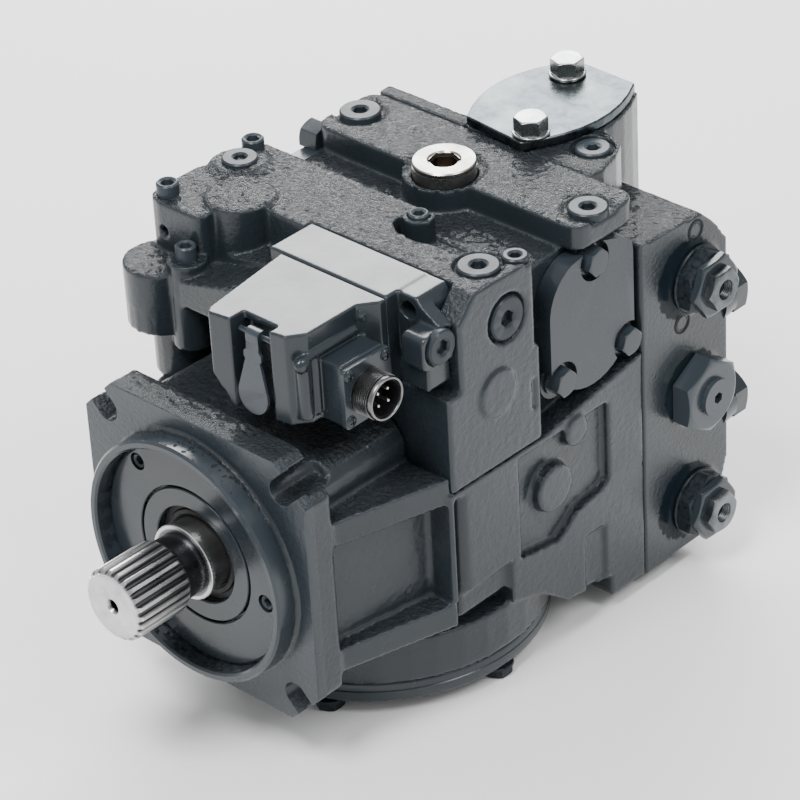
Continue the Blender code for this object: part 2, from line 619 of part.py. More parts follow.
def end_cap():
    """The rear casting: ports, valve plate seat, cartridges and the charge pump's pocket."""
    front, back = CASE_BACK_Y + FIT_GAP, CAP_BACK_Y
    side = [(front, -93), (back - 20, -92), (back - 7, -74), (back, -52), (back, 74), (back - 10, 88),
            (back - 20, 97), (front, 99)]
    cap = node("end_cap", plate("X", side, -CASE_HALF_X, CASE_HALF_X), PAINT)
    join(cap, rod("Y", (0, 0), 210, 222, CAVITY_R - 1, sides=32))
    boss = [(x, max(y, front)) for x, y in lens_outline(LENS, 14, 13, grow=0.03)]
    join(cap, plate("Z", boss, 55, TOP_Z))
    pad = [(15, front), (59, front), (60, 225), (55.5, 240), (50, 250), (40, 254), (15, 258)]
    join(cap, plate("Z", pad, 60, TOP_Z - 0.7), box((-80, front, 60), (-24, 225, TOP_Z - 0.4)))
    join(cap, rod("Y", (0, 0), back - 4, CAP_PAD_Y, 45, sides=28))
    for y, z, radius in (*((y, z, 18.6) for name, y, z in RELIEF_VALVES), (*CHARGE_RELIEF, 19.5)):
        join(cap, rod("X", (y, z), CASE_HALF_X - 8, CASE_HALF_X + 1, radius, sides=20))
    hollow_cap(cap)


def hollow_cap(cap):
    cut(cap, rod("Y", (0, 0), 200, 241, 15.6, sides=20))
    cut(cap, rod("Y", (0, 0), 205, 237, 19.3, sides=20))
    cut(cap, rod("Y", (0, 0), 230, 300, 12, sides=20))
    cut(cap, rod("Y", (GEROTOR_OFFSET, 0), GEROTOR_Y[0] - 0.3, 300, 27.8, sides=28))
    for z in (-30, 30):
        cut(cap, rod("X", (243, z), -100, -25, 12.5, sides=16))
    for middle in (0, 180):
        kidney = list(arc((0, 0), BORE_CIRCLE_R + 5, middle - 40, middle + 40, 5))
        kidney += list(arc((0, 0), BORE_CIRCLE_R - 5, middle + 40, middle - 40, 5))
        cut(cap, plate("Y", kidney, 205, 232))


def charge_pump_cover():
    cover = node("charge_pump_cover", rod("Y", (0, 0), CAP_PAD_Y + FIT_GAP, BACK_BOSS_Y, 42, sides=28), PAINT)
    join(cover, rod("Y", (GEROTOR_OFFSET, 0), GEROTOR_Y[1] + 0.3, CAP_PAD_Y + 3, 27.4, sides=24))
    cut(cover, rod("Y", (0, 0), GEROTOR_Y[1] - 2, GEROTOR_Y[1] + 6, 12, sides=20))


# ---- covers, plugs and bolts ---------------------------------------------------------------
def servo_cover_outline():
    """A rounded plate, scalloped out round its bolts."""
    corners = ((157, 47), (209, 47), (209, 107), (157, 107))
    starts = (180, 270, 0, 90)
    outline = []
    for (y, z), start in zip(corners, starts):
        outline += list(arc((y, z), 6.5, start, start + 90, 4))
    return outline


def servo_covers():
    for name, side in (("servo_cover_right", 1), ("servo_cover_left", -1)):
        low, high = sorted((side * 77.8, side * 88))
        cover = node(name, plate("X", servo_cover_outline(), low, high), PAINT)
        low, high = sorted((side * 76.2, side * 79))
        join(cover, rod("X", (SERVO_Y, SERVO_Z), low, high, SERVO_R - 0.3, sides=32))


def hex_bolt(name, axis, place, seat, out, head_af=15.0, washer_r=9.5, head=9.0, sign=1):
    """A hexagon head with a washer, standing off its seat along the axis."""
    low, high = sorted((seat + sign * FIT_GAP, seat + sign * 2.2))
    origin = list(place)
    origin.insert("XYZ".index(axis), seat)
    bolt = node(name, rod(axis, place, low, high, washer_r, sides=20), out, origin=origin)
    low, high = sorted((seat + sign * 2, seat + sign * head))
    join(bolt, hex_rod(axis, place, low, high, head_af, turn=10))


def port_cover():
    """The zinc-plated plate that closes the charge port on top of the end cap."""
    node("port_cover_plate", plate("Z", lens_outline(LENS, 14, 13), TOP_Z + FIT_GAP, TOP_Z + 5.5), ZINC)
    for number, place in enumerate(((-9, 279), (17, 222)), 1):
        hex_bolt(f"port_cover_bolt_{number}", "Z", place, TOP_Z + 5.5, ZINC, 15, 9.5, 10)


def servo_cover_bolts():
    for number, place in enumerate(((185, 105), (160, 50), (208, 50)), 1):
        hex_bolt(f"servo_cover_bolt_{number}", "X", place, 88, PAINT, 13, 8, 7)


def top_plug():
    plug = node("top_plug", rod("Z", (0, 178), 119, TOP_Z + 5, 15.8, sides=32), NICKEL)
    cut(plug, hex_rod("Z", (0, 178), TOP_Z - 4, TOP_Z + 8, 15, turn=12))


def cartridges():
    """Two adjustable relief valves and the charge relief valve between them."""
    face = CASE_HALF_X + 1 + FIT_GAP
    for name, y, z in RELIEF_VALVES:
        valve = node(name, rod("X", (y, z), face, face + 2, 18.2, sides=28), DARK_STEEL, origin=(face, y, z))
        join(valve, hex_rod("X", (y, z), face + 1, face + 10, 31, turn=30))
        join(valve, hex_rod("X", (y, z), face + 9.5, face + 14, 29.5, turn=6))
        join(valve, hex_rod("X", (y, z), face + 13.5, CARTRIDGE_TIP_X, 20, turn=3))
        cut(valve, rod("X", (y, z), CARTRIDGE_TIP_X - 6, CARTRIDGE_TIP_X + 2, 5, sides=16))
    valve = node("charge_relief_valve", hex_rod("X", CHARGE_RELIEF, face, face + 11.5, 36, turn=30), PAINT,
                 origin=(face, *CHARGE_RELIEF))
    join(valve, rod("X", CHARGE_RELIEF, face + 11, face + 14.5, 10, sides=24))
    cut(valve, hex_rod("X", CHARGE_RELIEF, face + 11.5, face + 18, 5.5))


# ---- electric control ----------------------------------------------------------------------
def control_cover():
    """The die-cast box of the electric control, with the slot in its front face."""
    outline = [(-6, 71.6), (-2, 45), (2, 17), (5, 13), (48, 19), (54, 27), (54, 59), (61, 68), (61, 71.6)]
    case = node("control_cover", plate("Z", outline, ADAPTER_Z, TOP_Z - 0.4), PAINT)
    join(case, box((48, 33.5, ADAPTER_Z - 0.5), (67.5, 61, 111.5)))
    cut(case, box((17, 5, 60), (39, 28, 123.5)), box((17, 5, 100), (39, 24, TOP_Z + 5)))
    cut(case, box((3, 34, 86), (47, 80, 122)))


def control_adapter():
    """The valve body between the electric control and the control block, with its screw lug."""
    body = node("control_adapter", box((-14, 72, ADAPTER_Z), (60.5, 100.7, TOP_Z)), PAINT)
    join(body, box((50, 81, ADAPTER_Z + 4), (73, 100.7, 112)))
    join(body, plate("Y", [(55, 108), (55, 127.6), (71.5, 127.6), (75.7, 122), (75.7, 108)], 80, 100.7))
    join(body, plate("Y", [(60, 98), (60, 125), (73, 125), (86.5, 117), (86.5, 99), (73, 98)], 80, 87.7))
    join(body, box((73, 67.5, 99), (86.5, 87, 116.5), round_axis="X", radius=3))
    join(body, box((68, 72, 86), (84.6, 87, 99.5)))
    cut(body, rod("Y", (66.5, 119.5), 70, 92, 4.6, sides=16))
    cut(body, rod("X", (SPOOL_Y, SPOOL_Z), -11, 75, 6.6, sides=12))


def control_spool():
    """The spool that meters oil to the servo piston, with three lands."""
    land, stem = 6.4, 4.2
    profile = [(-8, 0), (-8, land), (2, land), (2, stem), (18, stem), (18, land), (26, land), (26, stem),
               (42, stem), (42, land), (54, land), (54, 0)]
    node("control_spool", turned("X", profile, centre=(SPOOL_Y, SPOOL_Z), sides=12), STEEL,
         origin=(0, SPOOL_Y, SPOOL_Z))


def connector():
    """The threaded round socket with its pins, on a screwed-on base plate."""
    y, z = CONNECTOR_YZ
    plug = node("connector", box((67.8, 32, 79.5), (70.5, 63, 111), round_axis="X", radius=2, steps=2), NICKEL)
    join(plug, rod("X", (y, z), 70, 82.6, 11.3, sides=24))
    cut(plug, rod("X", (y, z), 72, 90, 9.4, sides=20))
    for i in range(4):
        angle = math.radians(45 + 90 * i)
        join(plug, rod("X", (y + 5 * math.cos(angle), z + 5 * math.sin(angle)), 70, 79, 1.0, sides=6))


def override_flap():
    """The teardrop tongue that hangs from a pin in the control box's slot."""
    x, y, z = FLAP_PIN
    outline = list(arc((x, z - 27.5), 9.4, 180, 360, 8)) + list(arc((x, z), 3.4, 0, 180, 4))
    flap = node("override_flap", plate("Y", outline, y - 1.3, y + 1.3), NICKEL, origin=FLAP_PIN)
    join(flap, rod("X", (y, z), x - 10.2, x + 10.2, 1.7, sides=12))


drive_shaft()
cylinder_block()
block_spring()
slippers_and_pistons()
slipper_retainer()
retainer_guide()
gerotor()
swashplate()
servo_piston()
trunnion_bearings()
valve_plate()
bearings_and_seal()
seal_carrier()
housing()
control_block()
bottom_cover()
bottom_cover_bolts()
end_cap()
charge_pump_cover()
servo_covers()
port_cover()
servo_cover_bolts()
top_plug()
cartridges()
control_cover()
control_adapter()
control_spool()
connector()
override_flap()
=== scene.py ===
"""Looks of the axial piston pump: refined castings, plugs, screws, the electric control and their materials.

Shapes are drawn in millimetres in pump coordinates: the origin is the centre of the mounting
flange's front face, on the shaft's axis; +Y runs back to the end cap, +Z is up, and +X is the side
with the valve cartridges. `place` turns them into the frame's metres.
"""

import json
import math

import bmesh
import bpy
import numpy as np
from mathutils import Matrix, Vector, noise


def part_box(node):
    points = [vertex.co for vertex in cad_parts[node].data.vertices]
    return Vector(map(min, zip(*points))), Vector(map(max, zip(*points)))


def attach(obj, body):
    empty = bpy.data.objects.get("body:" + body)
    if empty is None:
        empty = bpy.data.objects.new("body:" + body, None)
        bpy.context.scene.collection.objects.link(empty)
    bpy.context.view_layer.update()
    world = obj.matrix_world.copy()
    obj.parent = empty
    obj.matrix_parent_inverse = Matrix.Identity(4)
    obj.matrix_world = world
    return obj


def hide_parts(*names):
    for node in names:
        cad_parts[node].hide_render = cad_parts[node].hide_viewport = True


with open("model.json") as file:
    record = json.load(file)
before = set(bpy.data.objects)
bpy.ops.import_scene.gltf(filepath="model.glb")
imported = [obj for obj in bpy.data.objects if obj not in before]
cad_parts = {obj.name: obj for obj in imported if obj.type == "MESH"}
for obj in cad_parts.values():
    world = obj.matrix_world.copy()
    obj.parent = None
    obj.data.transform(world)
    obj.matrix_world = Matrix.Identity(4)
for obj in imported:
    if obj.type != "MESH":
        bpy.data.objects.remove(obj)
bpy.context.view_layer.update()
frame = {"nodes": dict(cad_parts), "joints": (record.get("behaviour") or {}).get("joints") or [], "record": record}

MM = 0.001
CASE = "pump_case"
SHAFT_END_Y = -57.6        # the splined shaft's free end, ahead of the flange's face
PILOT_R = 63.5
PILOT_HIGH = 12.7
PILOT_WALL = 4.5
TOP_Z = 128.0              # top of the control block and of the housing's tower
SIDE_X = 90.0              # the case's flat sides
PIVOT_Y = 116.0            # the swashplate's vertical tilt axis
CAP_BACK_Y = 282.0
BOTTOM_Z = -93.0
BOTTOM_COVER_R = 86.0
CHROME_PLUG = (0.0, 178.0)
CONNECTOR = (47.0, 94.4)   # y and z of the connector's axis
FLAP_PIN = (28.5, 20.0, 121.0)
SPLINE_TEETH = 23

# centres of plugs, screws and bosses: x and y on top faces, y and z on side faces
LARGE_PLUG = (74, 120)
SMALL_PLUG = (81.5, 137)
LOBE_SCREW = (21, 137)
COLUMN = (-64, 64.5)
CONE_BOSS = (-80, 119)
TOWER_PLUG_LEFT = (-71.6, 194.6)
TOWER_PLUG_RIGHT = (79.4, 191.2)
CAP_PAD_PLUG = (41.6, 239)
SIDE_PLUG = (121, 104.5)
ADAPTER_PLUG = (79.3, 108.2)
UPPER_RELIEF = (256.5, 63.5)
LOWER_RELIEF = (254.7, -66.5)
CHARGE_RELIEF = (255.5, 0)
SERVO_BOLTS = ((185, 105), (160, 50), (208, 50))
SEAL_SCREWS = ((-34.7, 38.4), (45.8, -7.5), (-40, -28))

shaft_joint = next(joint for joint in frame["joints"] if joint["name"] == "shaft_spin")
shaft_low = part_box("drive_shaft")[0]
ORIGIN = Vector((shaft_joint["pos_m"][0], shaft_low.y - SHAFT_END_Y * MM, shaft_joint["pos_m"][2]))
PLACE = Matrix.Translation(ORIGIN) @ Matrix.Scale(MM, 4)
UNPLACE = PLACE.inverted()
AXIS_TURN = {
    "X": Matrix.Rotation(math.radians(90), 4, "Y"),
    "Y": Matrix.Rotation(math.radians(-90), 4, "X"),
    "Z": Matrix.Identity(4),
}


# ---- solids, in millimetres ------------------------------------------------------------------
def mesh_from(shape):
    bmesh.ops.recalc_face_normals(shape, faces=shape.faces)
    if shape.calc_volume(signed=True) < 0:
        bmesh.ops.reverse_faces(shape, faces=shape.faces)
    mesh = bpy.data.meshes.new("shape")
    shape.to_mesh(mesh)
    shape.free()
    return mesh


def box(low, high, round_axis=None, radius=0.0, steps=4):
    """A block between two corners, its edges along one axis rounded."""
    low, high = Vector(low), Vector(high)
    shape = bmesh.new()
    bmesh.ops.create_cube(shape, size=1)
    shape.transform(Matrix.Translation((low + high) / 2) @ Matrix.Diagonal((*(high - low), 1)))
    if round_axis:
        way = "XYZ".index(round_axis)
        edges = [e for e in shape.edges if abs((e.verts[0].co - e.verts[1].co)[way]) > 1e-6]
        bmesh.ops.bevel(shape, geom=edges, offset=radius, segments=steps, profile=0.5, affect="EDGES")
    return mesh_from(shape)


def rod(axis, centre, start, end, radius, radius_end=None, sides=48, turn=0.0):
    """A cylinder or cone along X, Y or Z; `centre` is its other two coordinates, in XYZ order."""
    shape = bmesh.new()
    bmesh.ops.create_cone(
        shape, cap_ends=True, segments=sides, depth=end - start,
        radius1=radius, radius2=radius if radius_end is None else radius_end,
    )
    place = list(centre)
    place.insert("XYZ".index(axis), (start + end) / 2)
    shape.transform(Matrix.Translation(place) @ AXIS_TURN[axis] @ Matrix.Rotation(math.radians(turn), 4, "Z"))
    return mesh_from(shape)


def hex_rod(axis, centre, start, end, across_flats, turn=0.0):
    return rod(axis, centre, start, end, across_flats / math.sqrt(3), sides=6, turn=turn)


def ball(centre, radii, sides=24, rings=14):
    shape = bmesh.new()
    bmesh.ops.create_uvsphere(shape, u_segments=sides, v_segments=rings, radius=1)
    shape.transform(Matrix.Translation(centre) @ Matrix.Diagonal((*radii, 1)))
    return mesh_from(shape)


def plate(axis, outline, start, end):
    """An outline, in the other two axes' coordinates, made solid from start to end along axis."""
    shape = bmesh.new()
    way = "XYZ".index(axis)
    rings = []
    for level in (start, end):
        ring = []
        for point in outline:
            place = list(point)
            place.insert(way, level)
            ring.append(shape.verts.new(place))
        rings.append(ring)
    count = len(outline)
    shape.faces.new(rings[0])
    shape.faces.new(rings[1][::-1])
    for i in range(count):
        j = (i + 1) % count
        shape.faces.new((rings[0][j], rings[0][i], rings[1][i], rings[1][j]))
    return mesh_from(shape)


def turned(axis, profile, centre=(0, 0), sides=64):
    """A turned shape from (place along axis, radius) pairs, closed on the axis or as a ring."""
    shape = bmesh.new()
    verts = [shape.verts.new((radius, 0, place)) for place, radius in profile]
    edges = [shape.edges.new((verts[i - 1], verts[i])) for i in range(len(verts))
             if verts[i - 1].co.x > 1e-9 or verts[i].co.x > 1e-9]
    bmesh.ops.spin(shape, geom=verts + edges, angle=2 * math.pi, steps=sides, axis=(0, 0, 1), cent=(0, 0, 0))
    bmesh.ops.remove_doubles(shape, verts=shape.verts, dist=1e-4)
    place = list(centre)
    place.insert("XYZ".index(axis), 0)
    shape.transform(Matrix.Translation(place) @ AXIS_TURN[axis])
    return mesh_from(shape)


def arc(centre, radius, start, end, steps):
    """Points on an arc, in degrees."""
    for i in range(steps + 1):
        angle = math.radians(start + (end - start) * i / steps)
        yield (centre[0] + radius * math.cos(angle), centre[1] + radius * math.sin(angle))


def evaluated(obj):
    bpy.context.view_layer.update()
    return bpy.data.meshes.new_from_object(obj.evaluated_get(bpy.context.evaluated_depsgraph_get()))


def combine(mesh, operation, tools):
    """The mesh with each tool joined or cut by an exact Boolean."""
    if not tools:
        return mesh
    body = bpy.data.objects.new("body", mesh)
    bpy.context.scene.collection.objects.link(body)
    helpers = []
    for tool in tools:
        helper = bpy.data.objects.new("tool", tool)
        bpy.context.scene.collection.objects.link(helper)
        modifier = body.modifiers.new("Boolean", "BOOLEAN")
        modifier.operation = operation
        modifier.object = helper
        helpers.append(helper)
    result = evaluated(body)
    for helper in [body, *helpers]:
        bpy.data.objects.remove(helper)
    return result


def join(mesh, *tools):
    return combine(mesh, "UNION", tools)


def cut(mesh, *tools):
    return combine(mesh, "DIFFERENCE", tools)


def node_mesh(name):
    """A copy of a CAD node's mesh, in millimetres and pump coordinates, welded."""
    shape = bmesh.new()
    shape.from_mesh(frame["nodes"][name].data)
    shape.transform(UNPLACE)
    bmesh.ops.remove_doubles(shape, verts=shape.verts, dist=1e-3)
    bmesh.ops.dissolve_limit(shape, angle_limit=math.radians(0.5), verts=shape.verts, edges=shape.edges)
    return mesh_from(shape)


# ---- pieces ----------------------------------------------------------------------------------
def piece(name, mesh, material, body=CASE, stands_for=(), sharp=38.0):
    """A finished piece from a mesh in millimetres: placed, shaded, given its material and body."""
    mesh.name = name
    mesh.transform(PLACE)
    mesh.materials.clear()
    mesh.materials.append(material)
    mesh.shade_smooth()
    mesh.set_sharp_from_angle(angle=math.radians(sharp))
    obj = bpy.data.objects.new(name, mesh)
    bpy.context.scene.collection.objects.link(obj)
    if sharp < 180:
        flat = obj.modifiers.new("Weighted", "WEIGHTED_NORMAL")
        flat.keep_sharp = True
        obj.data = evaluated(obj)
        obj.modifiers.clear()
    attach(obj, body)
    if stands_for:
        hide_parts(*stands_for)
    return obj


def softened(mesh, width, segments=2, angle=30.0):
    """The mesh with its sharp edges broken by a small bevel."""
    body = bpy.data.objects.new("body", mesh)
    bpy.context.scene.collection.objects.link(body)
    bevel = body.modifiers.new("Bevel", "BEVEL")
    bevel.width = width
    bevel.segments = segments
    bevel.limit_method = "ANGLE"
    bevel.angle_limit = math.radians(angle)
    bevel.use_clamp_overlap = True
    result = evaluated(body)
    bpy.data.objects.remove(body)
    return result


def cast(mesh, voxel, smoothing, keep=1.0, ripples=()):
    """The mesh as a casting: remeshed, its edges run round, and its as-cast faces made uneven.

    Each ripple is (region test on point and normal, height, wavelength)."""
    body = bpy.data.objects.new("body", mesh)
    bpy.context.scene.collection.objects.link(body)
    remesh = body.modifiers.new("Remesh", "REMESH")
    remesh.mode = "VOXEL"
    remesh.voxel_size = voxel
    smooth = body.modifiers.new("Smooth", "SMOOTH")
    smooth.factor = 0.5
    smooth.iterations = smoothing
    dense = evaluated(body)
    bpy.data.objects.remove(body)
    if ripples:
        roughen(dense, ripples)
    if keep < 1.0:
        body = bpy.data.objects.new("body", dense)
        bpy.context.scene.collection.objects.link(body)
        thin = body.modifiers.new("Decimate", "DECIMATE")
        thin.ratio = keep
        dense = evaluated(body)
        bpy.data.objects.remove(body)
    return dense


def roughen(mesh, ripples):
    count = len(mesh.vertices)
    points = np.empty(count * 3, np.float32)
    mesh.vertices.foreach_get("co", points)
    points = points.reshape(-1, 3)
    normals = np.empty(count * 3, np.float32)
    mesh.vertex_normals.foreach_get("vector", normals)
    normals = normals.reshape(-1, 3)
    for region, height, wavelength in ripples:
        weight = region(points, normals)
        for i in np.nonzero(weight > 0.01)[0]:
            place = Vector(points[i]) / wavelength
            lift = noise.noise(place) + 0.5 * noise.noise(place * 2.1)
            points[i] += normals[i] * (height * float(weight[i]) * lift)
    mesh.vertices.foreach_set("co", points.ravel())
    mesh.update()


def facing(way, low=0.75, high=0.95):
    """A region test: how squarely a point's normal faces +X, +Y or +Z."""
    def region(points, normals):
        return np.clip((normals[:, way] - low) / (high - low), 0, 1)
    return region


# ---- materials -------------------------------------------------------------------------------
class Nodes:
    """Short names for building one material's node tree."""

    def __init__(self, name):
        self.material = bpy.data.materials.new(name)
        self.material.use_nodes = True
        self.tree = self.material.node_tree
        self.shader = self.tree.nodes["Principled BSDF"]

    def add(self, kind, settings=(), **inputs):
        node = self.tree.nodes.new("ShaderNode" + kind)
        for key, value in dict(settings).items():
            setattr(node, key, value)
        for key, value in inputs.items():
            socket = node.inputs[int(key[1:])] if key[0] == "_" else node.inputs[key]
            if isinstance(value, bpy.types.NodeSocket):
                self.tree.links.new(value, socket)
            else:
                socket.default_value = value
        return node

    def link(self, output, name):
        self.tree.links.new(output, self.shader.inputs[name])

    def set(self, name, value):
        self.shader.inputs[name].default_value = value

    def math(self, operation, first, second=0.0):
        return self.add("Math", {"operation": operation}, _0=first, _1=second).outputs[0]

    def noise(self, coordinates, scale, detail=3.0, roughness=0.55):
        return self.add("TexNoise", Vector=coordinates, Scale=scale, Detail=detail,
                        Roughness=roughness).outputs["Fac"]

    def spread(self, value, low, high, to_low=0.0, to_high=1.0):
        node = self.add("MapRange", {"clamp": True}, _0=value)
        for i, number in enumerate((low, high, to_low, to_high), 1):
            node.inputs[i].default_value = number
        return node.outputs[0]

    def blend(self, factor, first, second):
        node = self.add("Mix", {"data_type": "RGBA"})
        for socket, value in ((0, factor), (6, first), (7, second)):
            if isinstance(value, bpy.types.NodeSocket):
                self.tree.links.new(value, node.inputs[socket])
            else:
                node.inputs[socket].default_value = value
        return node.outputs[2]

    def bump(self, height, strength, distance):
        node = self.add("Bump", Height=height)
        node.inputs["Distance"].default_value = distance
        if isinstance(strength, bpy.types.NodeSocket):
            self.tree.links.new(strength, node.inputs["Strength"])
        else:
            node.inputs["Strength"].default_value = strength
        self.link(node.outputs[0], "Normal")


def grey(*values):
    return (*values, 1.0)


GROUND_STEEL = ((0.60, 0.60, 0.59), (0.42, 0.42, 0.42))
PAINT_DEEP = grey(0.011, 0.016, 0.020)
PAINT_LIGHT = grey(0.022, 0.029, 0.035)


def paint_material(name, grain, top_grain, masked=(), shine=0.36, dullness=0.18):
    """Glossy slate enamel. `grain` is the skin of every face, `top_grain` that of upward as-cast
    faces, and `masked` lists places (x, y, z, radius in mm) that the top coat left darker."""
    nodes = Nodes(name)
    place = nodes.add("TexCoord").outputs["Object"]
    up = nodes.add("SeparateXYZ", Vector=nodes.add("NewGeometry").outputs["Normal"]).outputs["Z"]
    top = nodes.spread(up, 0.55, 0.9)
    colour = nodes.blend(nodes.noise(place, 22.0, 4.0), PAINT_DEEP, PAINT_LIGHT)
    # sharp edges are lightened by pointiness: partly paint worn thin on the edges, partly a painted highlight for
    # the glints that rounded edges catch
    edge_wear_and_highlight = nodes.spread(nodes.add("NewGeometry").outputs["Pointiness"], 0.52, 0.60)
    colour = nodes.blend(nodes.math("MULTIPLY", edge_wear_and_highlight, 0.5), colour, grey(0.045, 0.058, 0.070))
    dimmed = None
    for x, y, z, radius in masked:
        centre = PLACE @ Vector((x, y, z))
        shifted = nodes.add("VectorMath", {"operation": "DISTANCE"}, _0=place, _1=centre).outputs["Value"]
        ragged = nodes.math("ADD", shifted, nodes.math("MULTIPLY", nodes.noise(place, 260.0, 2.0), 0.006))
        patch = nodes.spread(ragged, (radius + 2.4) * MM, (radius + 3.4) * MM, 1.0, 0.0)
        dimmed = nodes.math("MAXIMUM", dimmed, patch) if dimmed else patch
        colour = nodes.blend(nodes.math("MULTIPLY", patch, 0.85), colour, grey(0.004, 0.009, 0.013))
    nodes.link(colour, "Base Color")
    nodes.link(nodes.spread(nodes.noise(place, 60.0), 0.3, 0.7, dullness, dullness + 0.12), "Roughness")
    if dimmed:
        nodes.link(nodes.spread(dimmed, 0.0, 1.0, shine, 0.05), "Specular IOR Level")
    else:
        nodes.set("Specular IOR Level", shine)
    nodes.set("Coat Weight", 0.10)
    nodes.set("Coat Roughness", 0.08)
    fine = nodes.noise(place, 1000.0, 3.0)
    coarse = nodes.noise(place, 430.0, 4.0, 0.6)
    skin = nodes.math("ADD", nodes.math("MULTIPLY", fine, 0.35), coarse)
    amount = nodes.math("ADD", grain, nodes.math("MULTIPLY", top, top_grain))
    nodes.bump(skin, amount, 0.0042)
    return nodes.material


def metal_nodes(name, colour, worn, roughness, grain_scale=700.0, grain=0.08, stretch=(1, 1, 1)):
    """Bare or plated metal: fine lines of polish, patches of dullness."""
    nodes = Nodes(name)
    place = nodes.add("TexCoord").outputs["Object"]
    lines = nodes.add("Mapping", Vector=place)
    lines.inputs["Scale"].default_value = stretch
    streaks = nodes.noise(lines.outputs[0], grain_scale, 4.0)
    patches = nodes.noise(place, 70.0, 5.0, 0.65)
    nodes.link(nodes.blend(nodes.spread(patches, 0.35, 0.7), grey(*colour), grey(*worn)), "Base Color")
    nodes.set("Metallic", 1.0)
    rough = nodes.math("ADD", nodes.spread(patches, 0.3, 0.7, roughness, roughness + 0.14),
                       nodes.spread(streaks, 0.3, 0.7, 0.0, 0.06))
    nodes.link(rough, "Roughness")
    nodes.bump(streaks, grain, 0.0004)
    return nodes


def metal_material(*look):
    return metal_nodes(*look).material


def spline_material():
    """Ground steel with painted shade darkening its tooth roots and undercut, placed by distance from the shaft's
    axis.
    """
    nodes = metal_nodes("spline_look", *GROUND_STEEL, 0.22, 500.0, 0.08, (1, 0.08, 1))
    place = nodes.add("VectorMath", {"operation": "SUBTRACT"}, _0=nodes.add("TexCoord").outputs["Object"],
                      _1=ORIGIN).outputs["Vector"]
    flat = nodes.add("VectorMath", {"operation": "MULTIPLY"}, _0=place, _1=(1.0, 0.0, 1.0)).outputs["Vector"]
    radius = nodes.add("VectorMath", {"operation": "LENGTH"}, _0=flat).outputs["Value"]
    behind = nodes.spread(nodes.add("SeparateXYZ", Vector=place).outputs["Y"], (SHAFT_END_Y + 0.4) * MM,
                          (SHAFT_END_Y + 1.4) * MM)
    # painted shade: the tooth roots and the run-out behind the shaft's end are darkened
    groove_shade = nodes.math("MULTIPLY", nodes.spread(radius, 0.0172, 0.0182, 1.0, 0.0), behind)
    plain = nodes.shader.inputs["Base Color"].links[0].from_socket
    nodes.link(nodes.blend(groove_shade, plain, grey(0.10, 0.10, 0.11)), "Base Color")
    return nodes.material


def zinc_material():
    """Zinc plating with its mottled blue-white bloom."""
    nodes = Nodes("zinc_plate_look")
    place = nodes.add("TexCoord").outputs["Object"]
    mottle = nodes.noise(place, 150.0, 6.0, 0.7)
    clouds = nodes.noise(place, 38.0, 3.0)
    colour = nodes.blend(nodes.spread(mottle, 0.35, 0.65), grey(0.020, 0.028, 0.034),
                         grey(0.085, 0.100, 0.110))
    colour = nodes.blend(nodes.spread(clouds, 0.46, 0.66, 0.0, 0.7), colour, grey(0.125, 0.140, 0.146))
    nodes.link(colour, "Base Color")
    nodes.set("Metallic", 1.0)
    nodes.link(nodes.spread(mottle, 0.3, 0.7, 0.20, 0.36), "Roughness")
    nodes.bump(mottle, 0.22, 0.0006)
    return nodes.material


def dull_material(name, colour, lighter, roughness):
    """Rubber, black oxide, and the near-black painted shade laid inside sockets and hollows."""
    nodes = Nodes(name)
    place = nodes.add("TexCoord").outputs["Object"]
    fleck = nodes.noise(place, 420.0, 4.0)
    nodes.link(nodes.blend(nodes.spread(fleck, 0.35, 0.7), grey(*colour), grey(*lighter)), "Base Color")
    nodes.link(nodes.spread(fleck, 0.3, 0.7, roughness, roughness + 0.15), "Roughness")
    nodes.set("Specular IOR Level", 0.2)
    nodes.bump(fleck, 0.1, 0.0004)
    return nodes.material


MASKED_SPOTS = ((SIDE_X, 250, 66, 21.5), (SIDE_X, 253, 2, 20), (SIDE_X, 248.5, -64, 21.5))
CAST_PAINT = paint_material("cast_enamel", 0.10, 1.0, MASKED_SPOTS)
SMOOTH_PAINT = paint_material("smooth_enamel", 0.02, 0.0)
PLUG_PAINT = paint_material("plug_enamel", 0.04, 0.05, shine=0.20, dullness=0.36)
WORN_PAINT = metal_material("worn_paint_look", (0.05, 0.06, 0.065), (0.20, 0.21, 0.22), 0.30)
STEEL = metal_material("ground_steel_look", *GROUND_STEEL, 0.20, 500.0, 0.10, (1, 0.08, 1))
CHROME = metal_material("nickel_look", (0.40, 0.39, 0.37), (0.24, 0.235, 0.22), 0.18)
SPLINE = spline_material()
DARK_NICKEL = metal_material("dark_nickel_look", (0.20, 0.20, 0.20), (0.12, 0.12, 0.125), 0.20)
PINS = metal_material("pin_look", (0.75, 0.73, 0.66), (0.60, 0.58, 0.5), 0.2)
BRONZE = metal_material("bronze_look", (0.55, 0.35, 0.15), (0.40, 0.24, 0.10), 0.28)
ZINC = zinc_material()
BOLT_ZINC = metal_material("zinc_bolt_look", (0.36, 0.37, 0.37), (0.22, 0.23, 0.23), 0.16)
BLACK = dull_material("black_oxide_look", (0.008, 0.011, 0.014), (0.022, 0.028, 0.034), 0.24)
RUBBER = dull_material("rubber_look", (0.006, 0.006, 0.007), (0.010, 0.010, 0.011), 0.42)
# dark bronze-toned metal for the inside of the chrome plug's socket: painted shade
SOCKET_WALL_SHADE = metal_material("socket_wall_painted_shade", (0.16, 0.13, 0.10), (0.07, 0.06, 0.05), 0.25)
# near-black material laid inside sockets and hollows: painted shade
HOLLOW_SHADE = dull_material("painted_socket_shade", (0.004, 0.004, 0.005), (0.010, 0.010, 0.012), 0.5)


# ---- small hardware --------------------------------------------------------------------------
def span(a, b):
    return (min(a, b), max(a, b))


